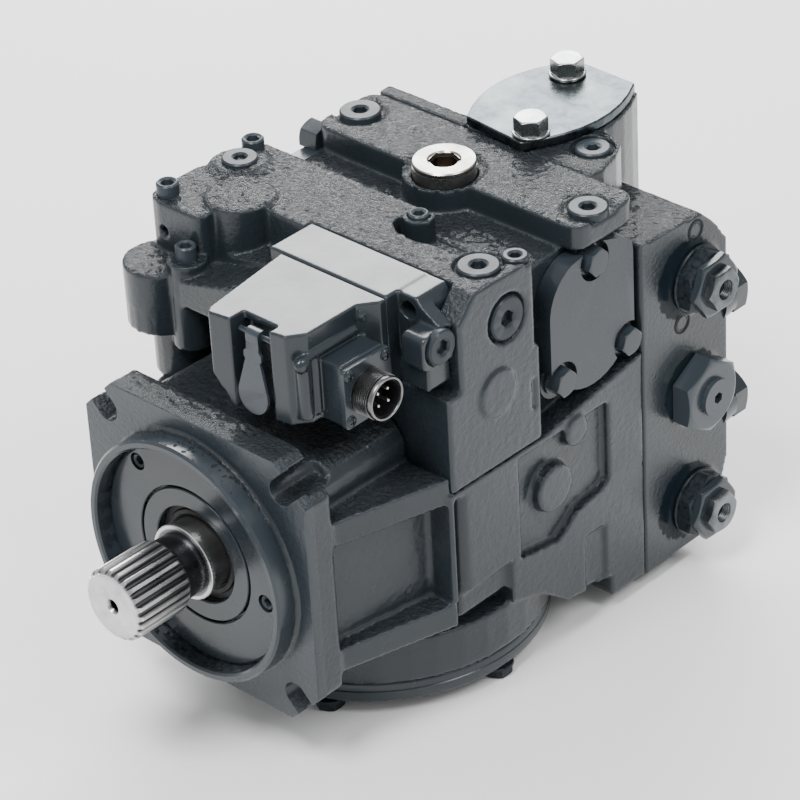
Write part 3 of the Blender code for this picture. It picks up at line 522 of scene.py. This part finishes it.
def socket_plug(name, axis, place, seat, top, radius, socket, material=PLUG_PAINT,
                sunk=3.5, chamfer=0.8):
    """A round plug or cap screw with a chamfered rim and a hexagon socket, standing from seat to top."""
    out = 1 if top > seat else -1
    profile = [(seat, 0), (seat, radius), (top - out * chamfer, radius), (top, radius - chamfer), (top, 0)]
    body = turned(axis, profile, place, sides=40)
    body = cut(body, hex_rod(axis, place, *span(top - out * sunk, top + out * 5), socket, turn=17))
    lip = [(top + out * 0.1, socket * 0.62 + 0.9), (top - out * 0.9, socket * 0.5), (top + out * 0.1, 0)]
    body = cut(body, turned(axis, lip, place, sides=32))
    return piece(name, softened(body, 0.2, 1), material)


def hex_head(axis, place, seat, top, across_flats, turn=0.0):
    """A hexagon with its corners turned off."""
    out = 1 if top > seat else -1
    body = hex_rod(axis, place, *span(seat, top), across_flats, turn=turn)
    reach = across_flats / math.sqrt(3)
    flat = across_flats * 0.46
    ring = [(top + out * 1, flat), (top, flat), (top - out * (reach - flat) * 0.55, reach + 0.1),
            (top - out * (reach - flat) * 0.55, reach + 3), (top + out * 1, reach + 3)]
    return cut(body, turned(axis, ring, place, sides=48))


# ---- castings --------------------------------------------------------------------------------
def valley_tool():
    """The sunk ground behind the electric control, leaving the lobes round the plugs standing."""
    outline = [(14, 131), (16, 124), (24, 119), (36, 118.5), (46, 121), (58, 121), (70, 128), (76, 131),
               (76, 150), (14, 150)]
    return cut(plate("Z", outline, 114, TOP_Z + 6), rod("Z", LOBE_SCREW, 110, 140, 7.8),
               rod("Z", LARGE_PLUG, 110, 140, 14.5), rod("Z", SMALL_PLUG, 110, 140, 8.5))


def control_block():
    body = node_mesh("control_block")
    corner = plate("X", [(87.6, 112), (101.5, 112), (101.5, TOP_Z - 0.1), (99, TOP_Z - 0.1), (87.6, 115.5)],
                   76, SIDE_X)
    ledge = plate("Y", [(-60, 86), (-60, 99.5), (-14, 111), (-14, 86)], 55, 80)
    rings = [(122, 0), (122, 16.6), (TOP_Z + 0.6, 16.2), (TOP_Z + 1.2, 15.4), (TOP_Z + 1.4, 13.4),
             (TOP_Z + 2.6, 13.0), (TOP_Z + 3.1, 12.2), (TOP_Z + 3.1, 0)]
    body = join(body, box((-92, 69.5, 100), (-58, 82, TOP_Z - 0.05), "Z", 6), corner, ledge,
                rod("Z", (-57, 96), 98, TOP_Z + 2.6, 17.2), turned("Z", rings, CONE_BOSS, sides=48),
                rod("Z", COLUMN, 90, 107, 9.8), rod("Z", (-83, 64), 80, 100.5, 18))
    body = cut(
        body, valley_tool(),
        rod("Z", LARGE_PLUG, TOP_Z - 3, TOP_Z + 6, 12.2), rod("Z", SMALL_PLUG, TOP_Z - 3, TOP_Z + 6, 8.0),
        rod("X", SIDE_PLUG, SIDE_X - 3, SIDE_X + 6, 12.6), rod("Y", (-84, 112), 60, 84, 2.4),
        box((SIDE_X - 1.5, 136, 46), (SIDE_X + 5, 139.4, 64)),
        rod("Z", LOBE_SCREW, TOP_Z - 3, TOP_Z + 6, 5.4),
    )
    body = cast(body, 1.1, 3, 0.55, [(facing(2), 0.75, 2.2), (facing(0, 0.8), 0.12, 3.0)])
    piece("control_block_casting", body, CAST_PAINT, stands_for=("control_block",), sharp=180)


def front_corner(side):
    """Rounds the case's upright front corner."""
    low, high = span(side * 83, side * 93)
    return cut(box((low, 80, -60), (high, 90, 24)), rod("Z", (side * 83, 90), -62, 26, 7.2))


def housing():
    body = node_mesh("housing")
    body = cut(
        body, front_corner(1), front_corner(-1), box((88.2, 171, -78), (95, 187, -45), "X", 3),
        rod("Z", TOWER_PLUG_LEFT, TOP_Z - 2.5, TOP_Z + 6, 13.5),
        rod("Z", TOWER_PLUG_RIGHT, TOP_Z - 2.5, TOP_Z + 6, 13.2),
        rod("Z", CHROME_PLUG, TOP_Z - 2.6, TOP_Z + 6, 20.5),
    )
    body = cast(body, 1.3, 2, 0.45, [(facing(2), 0.7, 2.2), (facing(0, 0.8), 0.12, 3.0)])
    piece("housing_casting", body, CAST_PAINT, stands_for=("housing",), sharp=180)


def end_cap():
    body = node_mesh("end_cap")
    body = cut(body, rod("Z", CAP_PAD_PLUG, TOP_Z - 4, TOP_Z + 5, 11.2))
    body = cast(body, 1.25, 2, 0.55, [(facing(2), 0.4, 2.4)])
    piece("end_cap_casting", body, CAST_PAINT, stands_for=("end_cap",), sharp=180)


def flange_outline(half, chamfer):
    return [(half, half - chamfer), (half - chamfer, half), (chamfer - half, half), (-half, half - chamfer),
            (-half, chamfer - half), (chamfer - half, -half), (half - chamfer, -half), (half, chamfer - half)]


def flange_slots(width, start, end):
    for degrees in (45, 135, 225, 315):
        angle = math.radians(degrees)
        out, side = Vector((math.cos(angle), math.sin(angle))), Vector((-math.sin(angle), math.cos(angle)))
        middle = Vector((math.copysign(57.25, out.x), math.copysign(57.25, out.y)))
        outline = [tuple(middle + out * 30 - side * width / 2), tuple(middle + out * 30 + side * width / 2)]
        outline += list(arc(middle, width / 2, degrees + 90, degrees + 270, 16))
        yield plate("Y", outline, start, end)


def flange_face():
    """The machined front of the flange with its pilot."""
    body = plate("Y", flange_outline(72.6, 19), -0.2, 6)
    body = cut(body, rod("Y", (0, 0), -4, 8, PILOT_R - 2, sides=96), *flange_slots(13.4, -4, 9))
    piece("flange_face", softened(body, 0.6, 2), CAST_PAINT)
    inner = PILOT_R - PILOT_WALL - 0.15
    ring = [(-PILOT_HIGH + 1, inner), (-PILOT_HIGH, inner + 1), (-PILOT_HIGH, PILOT_R - 1.2),
            (-PILOT_HIGH + 1.2, PILOT_R), (-3.2, PILOT_R), (-2.6, PILOT_R - 0.8), (-1.4, PILOT_R - 0.8),
            (-0.6, PILOT_R + 0.2), (2, PILOT_R + 0.2), (2, inner)]
    piece("pilot_ring", turned("Y", ring, sides=128), SMOOTH_PAINT)


def seal_carrier():
    outer = PILOT_R - PILOT_WALL - 0.3
    profile = [(-3.4, 25.3), (-4, 25.9), (-4, 34.6), (-3.6, 35), (0.5, 35), (0.5, 36.3), (-3.6, 36.3),
               (-4, 36.7), (-4, 57), (-3, outer), (5, outer), (5, 37), (12, 37), (12, 25.3)]
    body = turned("Y", profile, sides=96)
    body = cut(body, *[rod("Y", spot, -9, 0.5, 4.6) for spot in SEAL_SCREWS])
    piece("seal_carrier_plate", softened(body, 0.4, 2), SMOOTH_PAINT,
          stands_for=("seal_carrier",))
    for number, spot in enumerate(SEAL_SCREWS, 1):
        socket_plug(f"seal_carrier_screw_{number}", "Y", spot, 0.4, -3.4, 4.0, 4.2)
    lip = [(0.4, 18.6), (-0.6, 20), (-0.4, 22), (0.6, 22.6), (0.4, 25.1), (8, 25.1), (8, 24), (4, 23.6),
           (5, 18.6)]
    piece("shaft_seal_lip", turned("Y", lip, sides=96), RUBBER, stands_for=("shaft_seal",))


def drive_shaft():
    """The shaft's splined end with rounded flanks and run-out, and its plain body."""
    tip, root = 18.8, 16.5
    pitch = 2 * math.pi / SPLINE_TEETH
    outline = []
    for tooth in range(SPLINE_TEETH):
        for part, radius in ((-0.40, root), (-0.32, root + 0.25), (-0.17, tip - 0.15), (-0.12, tip),
                             (0.12, tip), (0.17, tip - 0.15), (0.32, root + 0.25), (0.40, root)):
            angle = (tooth + part) * pitch
            outline.append((radius * math.cos(angle), radius * math.sin(angle)))
    teeth = plate("Y", outline, SHAFT_END_Y + 0.1, -23)
    chamfer = [(SHAFT_END_Y - 2, 16.6), (SHAFT_END_Y, 16.6), (SHAFT_END_Y + 2.2, 18.9),
               (SHAFT_END_Y + 2.2, 22), (SHAFT_END_Y - 2, 22)]
    run_out = [(-22, 14), (-22, 22), (-28, 22), (-26.5, 18.9), (-23.6, 16.8)]
    teeth = cut(teeth, turned("Y", chamfer, sides=92), turned("Y", run_out, sides=92))
    profile = [(SHAFT_END_Y, 0), (SHAFT_END_Y, 15.8), (SHAFT_END_Y + 0.5, 16.4), (-24, 16.4), (-22, 16.0),
               (-12.4, 16.0), (-12.2, 19.2), (-11.8, 19.6), (-10.2, 19.6), (-9.8, 19.2), (-9.4, 18.2),
               (46, 18.2), (46, 24), (52, 24), (53, 17.5),
               (206, 17.5), (206, 15), (238, 15), (238, 11), (278, 11), (278, 0)]
    body = join(turned("Y", profile, sides=96), teeth)
    centre_hole = [(SHAFT_END_Y - 1, 0), (SHAFT_END_Y - 1, 4.6), (SHAFT_END_Y + 1.6, 2.9),
                   (SHAFT_END_Y + 14, 2.9), (SHAFT_END_Y + 15.5, 0)]
    body = cut(body, turned("Y", centre_hole, sides=32))
    piece("shaft_body", body, SPLINE, body="rotor", stands_for=("drive_shaft",), sharp=32)


def bottom_cover():
    rim = BOTTOM_COVER_R
    profile = [(-81, 0), (-81, rim - 1.4), (-81.8, rim - 0.6), (-82.6, rim), (-85.4, rim), (-85.9, rim - 0.5),
               (-86.4, rim), (-91, rim), (-92.2, rim - 0.8), (BOTTOM_Z, rim - 2), (BOTTOM_Z, 0)]
    body = join(turned("Z", profile, (0, PIVOT_Y), sides=128), rod("Z", (0, PIVOT_Y), -82, -61, 24))
    body = cut(body, rod("Z", (0, PIVOT_Y), -76, -50, 17.3))
    piece("bottom_cover_disc", body, SMOOTH_PAINT, stands_for=("bottom_cover",))


def bottom_bolts():
    for number, degrees in enumerate((0, 65, 180, 295, 115, 245), 1):
        angle = math.radians(degrees)
        spot = (79 * math.cos(angle), PIVOT_Y + 79 * math.sin(angle))
        body = join(hex_head("Z", spot, BOTTOM_Z - 1, BOTTOM_Z - 7, 13),
                    turned("Z", [(BOTTOM_Z - 0.3, 0), (BOTTOM_Z - 0.3, 8.0), (BOTTOM_Z - 1.6, 8.2),
                                 (BOTTOM_Z - 2, 7.6), (BOTTOM_Z - 2, 0)], spot, sides=40))
        stands_for = (f"bottom_cover_bolt_{number}",) if number < 5 else ()
        piece(f"bottom_bolt_{number}", softened(body, 0.25, 1), BLACK,
              stands_for=stands_for)


# ---- covers and plugs ------------------------------------------------------------------------
def servo_cover_outline():
    """Straight front and rear edges, a bowed foot, and a crown that runs in to the top bolt."""
    outline = [(152.2, 56), (152.2, 84)]
    outline += list(arc((178, 86), 25.8, 180, 112, 8))
    outline += [(190, 113.6), (203, 109.5)]
    outline += list(arc((202, 98.5), 11, 70, 0, 6))
    outline += [(213, 62), (213, 52)]
    outline += list(arc((182, 68), 30, -32, -148, 12))
    return outline


def servo_cover():
    """The thick side cover, scalloped round its three bolts."""
    thick = plate("X", servo_cover_outline(), 77.8, 88.2)
    feet = [rod("X", spot, 77.8, 83, 10.5) for spot in SERVO_BOLTS]
    body = join(thick, *feet)
    body = cut(body, *[rod("X", spot, 83, 99, 10.2) for spot in SERVO_BOLTS])
    piece("servo_cover_plate", softened(body, 0.9, 3), SMOOTH_PAINT,
          stands_for=("servo_cover_right",))
    for number, spot in enumerate(SERVO_BOLTS, 1):
        head = join(hex_head("X", spot, 84, 91.5, 13, turn=12), rod("X", spot, 83.2, 84.4, 8.2))
        piece(f"servo_bolt_{number}", softened(head, 0.3, 2), SMOOTH_PAINT,
              stands_for=(f"servo_cover_bolt_{number}",))


def plugs():
    socket_plug("control_plug_large", "Z", LARGE_PLUG, TOP_Z - 3, TOP_Z + 0.4, 10.3, 7.0)
    socket_plug("control_plug_small", "Z", SMALL_PLUG, TOP_Z - 3, TOP_Z + 0.6, 6.3, 5.0)
    socket_plug("side_plug", "X", SIDE_PLUG, SIDE_X - 3, SIDE_X + 0.4, 11.0, 7.5)
    socket_plug("lobe_screw", "Z", LOBE_SCREW, TOP_Z - 4, TOP_Z + 1.5, 5.0, 5.0)
    socket_plug("corner_screw_front", "Z", (-88, 78), TOP_Z - 2, TOP_Z + 6.5, 5.6, 6.0)
    socket_plug("corner_screw_rear", "Z", (-86.5, 134.5), TOP_Z - 2, TOP_Z + 6.5, 5.6, 6.0)
    socket_plug("column_screw", "Z", COLUMN, 104, 114.5, 5.2, 5.4)
    socket_plug("boss_plug", "Z", CONE_BOSS, TOP_Z + 2, TOP_Z + 5.0, 9.0, 5.5)
    socket_plug("tower_plug_left", "Z", TOWER_PLUG_LEFT, TOP_Z - 3, TOP_Z + 1.5, 10.5, 6.5)
    socket_plug("tower_plug_right", "Z", TOWER_PLUG_RIGHT, TOP_Z - 3, TOP_Z + 1.2, 9.8, 6.5)
    socket_plug("cap_pad_plug", "Z", CAP_PAD_PLUG, TOP_Z - 5, TOP_Z - 0.6, 8.8, 6.0)
    for number, spot in enumerate(((257.7, 89.2), (246.8, 41.7)), 1):
        socket_plug(f"cap_plug_{number}", "X", spot, SIDE_X - 2, SIDE_X + 0.5, 4.4, 5.4)
        # a thin ring of the near-black shade material round each plug: painted shade in the gap
        rim = [(SIDE_X - 1, 4.6), (SIDE_X + 0.25, 4.6), (SIDE_X + 0.25, 5.8), (SIDE_X - 1, 5.8)]
        piece(f"cap_plug_ring_{number}", turned("X", rim, spot, sides=32), HOLLOW_SHADE)
    end_nut = join(hex_head("X", (178, 116.5), -80, -92, 15, turn=20), rod("X", (168, 108), -86, -80, 4.2))
    piece("tower_end_plug", softened(end_nut, 0.4, 2), SMOOTH_PAINT)
    rim = [(119, 0), (119, 15.8), (130.2, 15.8), (130.6, 15.0), (131.0, 15.8), (132.4, 15.8), (133, 15.2),
           (133, 0)]
    body = cut(turned("Z", rim, CHROME_PLUG, sides=96), hex_rod("Z", CHROME_PLUG, 123, 140, 14, turn=12),
               turned("Z", [(134, 9.6), (132.2, 7.6), (134, 0)], CHROME_PLUG, sides=48))
    piece("chrome_plug", softened(body, 0.25, 2), CHROME, stands_for=("top_plug",))
    # a dark lining on the socket's walls and floor: painted shade in the hexagon socket
    lining = cut(hex_rod("Z", CHROME_PLUG, 122.6, 130.4, 13.96, turn=12),
                 hex_rod("Z", CHROME_PLUG, 123.1, 135, 13.3, turn=12))
    piece("chrome_plug_socket", lining, SOCKET_WALL_SHADE)


def rear_caps():
    """Hexagon caps over the charge and bypass passages on the end cap's rear."""
    for number, (x, z) in enumerate(((78, 36), (78, -26), (-78, 36), (-78, -26)), 1):
        body = join(hex_head("Y", (x, z), 288, 299, 24, turn=5),
                    rod("Y", (x, z), CAP_BACK_Y - 3, 289, 14, 13))
        piece(f"rear_cap_{number}", softened(body, 0.6, 2), SMOOTH_PAINT)


def relief_valve(name, node, y, z):
    """A pressure limiter: black hexagon body, painted lock nut and hexagon adjuster with a threaded bore."""
    face = SIDE_X + 1.3
    collar = [(face, 0), (face, 17.6), (face + 1.2, 18.2), (face + 1.8, 17.6), (face + 1.8, 0)]
    base = join(turned("X", collar, (y, z), sides=64),
                hex_head("X", (y, z), face + 1.2, face + 10, 31, turn=30))
    piece(f"{name}_body", softened(base, 0.35, 2), BLACK, stands_for=(node,))
    nut = hex_head("X", (y, z), face + 9.4, face + 14, 29.5, turn=6)
    piece(f"{name}_lock_nut", softened(nut, 0.3, 2), SMOOTH_PAINT)
    tip = 109.9
    threads = [(tip + 2, 6.4), (tip - 0.6, 5.0)]
    for i in range(5):
        threads += [(tip - 1.0 - i * 1.1, 5.0), (tip - 1.5 - i * 1.1, 4.4)]
    threads += [(tip - 6.6, 4.4), (tip - 6.6, 0), (tip + 2, 0)]
    stem = cut(hex_head("X", (y, z), face + 13.4, tip, 20, turn=3), turned("X", threads, (y, z), sides=40))
    piece(f"{name}_adjuster", softened(stem, 0.25, 2), WORN_PAINT)


def charge_relief():
    face = SIDE_X + 1.3
    body = join(hex_head("X", CHARGE_RELIEF, face, face + 11.5, 36, turn=30),
                rod("X", CHARGE_RELIEF, face + 11, face + 14.3, 10))
    body = cut(body, hex_rod("X", CHARGE_RELIEF, face + 9, face + 20, 5.5, turn=20))
    piece("charge_relief_plug", softened(body, 0.4, 2), SMOOTH_PAINT,
          stands_for=("charge_relief_valve",))


def port_cover():
    """The zinc-plated plate and its two bolts."""
    plate_mesh = node_mesh("port_cover_plate")
    piece("port_plate", softened(plate_mesh, 1.0, 3), ZINC, stands_for=("port_cover_plate",))
    for number, spot in enumerate(((-9, 279), (17, 222)), 1):
        seat = TOP_Z + 5.8
        washer = [(seat, 0), (seat, 9.3), (seat + 1.2, 9.5), (seat + 1.7, 9.0), (seat + 1.7, 0)]
        body = join(hex_head("Z", spot, seat + 1.6, TOP_Z + 15.4, 15, turn=10),
                    turned("Z", washer, spot, sides=48))
        piece(f"port_bolt_{number}", softened(body, 0.3, 2), BOLT_ZINC,
              stands_for=(f"port_cover_bolt_{number}",))


def rear_covers():
    spots = [(34 * math.cos(math.radians(angle)), 34 * math.sin(math.radians(angle)))
             for angle in (30, 90, 150, 210, 270, 330)]
    body = cut(node_mesh("charge_pump_cover"), *[rod("Y", spot, 296, 306, 6.6) for spot in spots])
    piece("charge_cover", softened(body, 1.0, 3), SMOOTH_PAINT,
          stands_for=("charge_pump_cover",))
    for number, spot in enumerate(spots, 1):
        head = hex_head("Y", spot, 295, 300.4, 8)
        piece(f"charge_cover_bolt_{number}", softened(head, 0.2, 1), SMOOTH_PAINT)
    body = softened(node_mesh("servo_cover_left"), 0.9, 3)
    piece("servo_cover_far", body, SMOOTH_PAINT, stands_for=("servo_cover_left",))


# ---- electric control ------------------------------------------------------------------------
def control_box():
    body = node_mesh("control_cover")
    wedge = plate("Y", [(-12, 78), (-12, 101), (4, 95), (13, 84), (15, 78)], 5, 32)
    ridge = [rod("Y", (54.0, 115.5), 24, 58, 2.0), ball((54.2, 23.0, 113.5), (3.0, 5.0, 4.0)),
             rod("Z", (52.6, 24.5), 84, 113, 3.6), rod("Z", (54.0, 31.0), 84, 113, 1.8)]
    body = join(body, *ridge)
    body = cut(body, wedge, rod("Y", (62.2, 112.4), 33, 66, 0.7), rod("Y", (58.4, 112.4), 33, 66, 0.5),
               rod("Z", (57.5, 28.8), 84, 111, 2.6))
    body = cast(body, 0.62, 3, 0.8)
    piece("control_box", body, SMOOTH_PAINT, stands_for=("control_cover",), sharp=180)
    screw = join(ball((54.4, 63, 121.5), (2.6, 4.2, 4.2)), rod("X", (63, 121.5), 52, 54.9, 4.9))
    screw = cut(screw, box((55.6, 62.4, 119.4), (60, 63.6, 123.6)),
                box((55.6, 60.9, 120.9), (60, 65.1, 122.1)))
    piece("control_box_screw", screw, SMOOTH_PAINT)


def control_adapter():
    body = node_mesh("control_adapter")
    body = cut(body, rod("X", ADAPTER_PLUG, 85.3, 90, 10.2), rod("X", (91, 98), -12.2, 76, 7.4))
    body = cast(body, 0.8, 3)
    piece("adapter_body", body, SMOOTH_PAINT, stands_for=("control_adapter",), sharp=180)
    socket_plug("adapter_plug", "X", ADAPTER_PLUG, 84, 88.2, 8.8, 6.5)


def connector():
    """Threaded socket shell, its base plate and screws, and the pins inside."""
    y, z = CONNECTOR
    shell = [(69, 9.2), (69, 11.3), (70.9, 11.3), (71.1, 10.3)]
    for i in range(8):
        start = 71.2 + i * 1.12
        shell += [(start + 0.30, 11.2), (start + 0.58, 11.2), (start + 0.92, 10.2)]
    shell += [(80.4, 10.2), (80.6, 11.0), (82.0, 11.0), (82.6, 10.5), (82.6, 9.7), (82.0, 9.2)]
    barrel = turned("X", shell, (y, z), sides=72)
    piece("connector_barrel", barrel, DARK_NICKEL, stands_for=("connector",), sharp=50)
    # the barrel's inside is lined with near-black: painted shade in the connector's mouth
    liner = [(70.6, 0), (70.6, 9.5), (81.6, 9.3), (81.6, 8.8), (72.4, 8.8), (72.4, 0)]
    piece("connector_floor", turned("X", liner, (y, z), sides=48), HOLLOW_SHADE)
    base = box((67.8, 32, 79.5), (70.5, 63, 111), "X", 2)
    piece("connector_base", softened(base, 0.4, 2), SMOOTH_PAINT)
    for number, (sy, sz) in enumerate(((59.5, 107.4), (35.2, 83.2), (35.4, 107.6)), 1):
        head = join(ball((70.4, sy, sz), (1.6, 3.1, 3.1)), rod("X", (sy, sz), 69.5, 70.9, 3.1))
        head = cut(head, box((71, sy - 0.4, sz - 1.8), (74, sy + 0.4, sz + 1.8)),
                   box((71, sy - 1.8, sz - 0.4), (74, sy + 1.8, sz + 0.4)))
        piece(f"connector_screw_{number}", head, SMOOTH_PAINT)
    for number in range(4):
        angle = math.radians(45 + 90 * number)
        spot = (y + 4.6 * math.cos(angle), z + 4.6 * math.sin(angle))
        pin = join(rod("X", spot, 72, 79.6, 0.85, sides=16), ball((79.6, *spot), (0.85, 0.85, 0.85), 16, 10))
        piece(f"connector_pin_{number + 1}", pin, PINS)


def override_flap():
    """The pressed tongue: round foot, shouldered neck and a hook folded over its pin."""
    x, y, z = FLAP_PIN
    foot = z - 30.5
    outline = list(arc((x, foot), 9.4, 158, 382, 24))
    shoulder = [(4.6, -12.5), (5.6, -11.4), (5.6, -8.6), (4.0, -7.2), (4.0, 1.8)]
    outline += [(x + across, z + up) for across, up in shoulder]
    outline += [(x - across, z + up) for across, up in reversed(shoulder)]
    body = plate("Y", outline, y - 3.0, y - 1.6)
    body.transform(Matrix.Translation((0, y, z)) @ Matrix.Rotation(math.radians(-4), 4, "X")
                   @ Matrix.Translation((0, -y, -z)))
    hook = box((x - 4.0, y - 3.4, z - 4.4), (x + 4.0, y + 3.0, z + 3.4), "X", 2.4)
    body = join(body, hook, rod("X", (y, z), x - 10.1, x + 10.1, 1.5, sides=24))
    piece("flap_tongue", softened(body, 0.25, 2), SMOOTH_PAINT, body="flap",
          stands_for=("override_flap",))


# ---- inner parts keep their CAD shapes ---------------------------------------------------------
def inner_materials():
    by_slot = {"ground_steel": STEEL, "bearing_bronze": BRONZE, "slate_paint": SMOOTH_PAINT,
               "seal_rubber": RUBBER, "blackened_steel": BLACK, "zinc_plate": ZINC, "nickel_plate": CHROME}
    for entry in frame["record"]["subparts"]:
        data = frame["nodes"][entry["node"]].data
        data.materials.clear()
        data.materials.append(by_slot[entry["material_slot"]])
        data.shade_smooth()
        data.set_sharp_from_angle(angle=math.radians(30))


# ---- floor, lights and camera ----------------------------------------------------------------
def floor():
    shape = bmesh.new()
    bmesh.ops.create_grid(shape, x_segments=8, y_segments=8, size=6.0)
    mesh = bpy.data.meshes.new("floor")
    shape.to_mesh(mesh)
    shape.free()
    nodes = Nodes("floor_paper")
    place = nodes.add("TexCoord").outputs["Object"]
    colour = nodes.blend(nodes.noise(place, 3.0, 2.0), grey(0.86, 0.86, 0.86), grey(0.90, 0.90, 0.90))
    nodes.link(colour, "Base Color")
    nodes.set("Roughness", 0.9)
    nodes.set("Specular IOR Level", 0.1)
    mesh.materials.append(nodes.material)
    obj = bpy.data.objects.new("floor", mesh)
    bpy.context.scene.collection.objects.link(obj)


def area_light(name, direction, distance, size, power):
    """A square softbox aimed at the pump from a direction given as azimuth and elevation in degrees."""
    azimuth, elevation = (math.radians(angle) for angle in direction)
    out = Vector((math.sin(azimuth) * math.cos(elevation), -math.cos(azimuth) * math.cos(elevation),
                  math.sin(elevation)))
    target = Vector((0, 0, 0.11))
    data = bpy.data.lights.new(name, "AREA")
    data.shape = "RECTANGLE"
    data.size, data.size_y = size
    data.energy = power
    lamp = bpy.data.objects.new(name, data)
    lamp.location = target + out * distance
    lamp.rotation_euler = (-out).to_track_quat("-Z", "Y").to_euler()
    bpy.context.scene.collection.objects.link(lamp)


def lights():
    world = bpy.data.worlds.new("studio")
    world.use_nodes = True
    world.node_tree.nodes["Background"].inputs["Color"].default_value = (1.0, 1.0, 1.0, 1.0)
    world.node_tree.nodes["Background"].inputs["Strength"].default_value = 0.7
    bpy.context.scene.world = world
    area_light("back_softbox", (225, 34), 1.9, (1.5, 0.9), 62)
    area_light("key_softbox", (10, 62), 1.8, (0.6, 0.6), 34)
    area_light("side_softbox", (100, 50), 2.0, (0.5, 0.8), 18)


def camera():
    """The viewpoint, about 1.8 m off, rolled a little, with a long lens."""
    azimuth, elevation, roll = (math.radians(angle) for angle in (44.71, 32.48, -3.30))
    back = Vector((math.sin(azimuth) * math.cos(elevation), -math.cos(azimuth) * math.cos(elevation),
                   math.sin(elevation)))
    right = Vector((math.cos(azimuth), math.sin(azimuth), 0))
    up = back.cross(right)
    level = Matrix((right, up, back)).transposed().to_4x4()
    data = bpy.data.cameras.new("camera")
    data.sensor_width = 36.0
    data.lens = 169.9
    obj = bpy.data.objects.new("camera", data)
    obj.matrix_world = Matrix.Translation((1.0949, -1.0938, 1.1100)) @ level @ Matrix.Rotation(roll, 4, "Z")
    bpy.context.scene.collection.objects.link(obj)
    bpy.context.scene.camera = obj


camera()
lights()
floor()
inner_materials()
housing()
control_block()
end_cap()
flange_face()
seal_carrier()
drive_shaft()
bottom_cover()
bottom_bolts()
servo_cover()
plugs()
rear_caps()
relief_valve("upper_relief", "relief_valve_upper", *UPPER_RELIEF)
relief_valve("lower_relief", "relief_valve_lower", *LOWER_RELIEF)
charge_relief()
port_cover()
rear_covers()
control_box()
control_adapter()
connector()
override_flap()
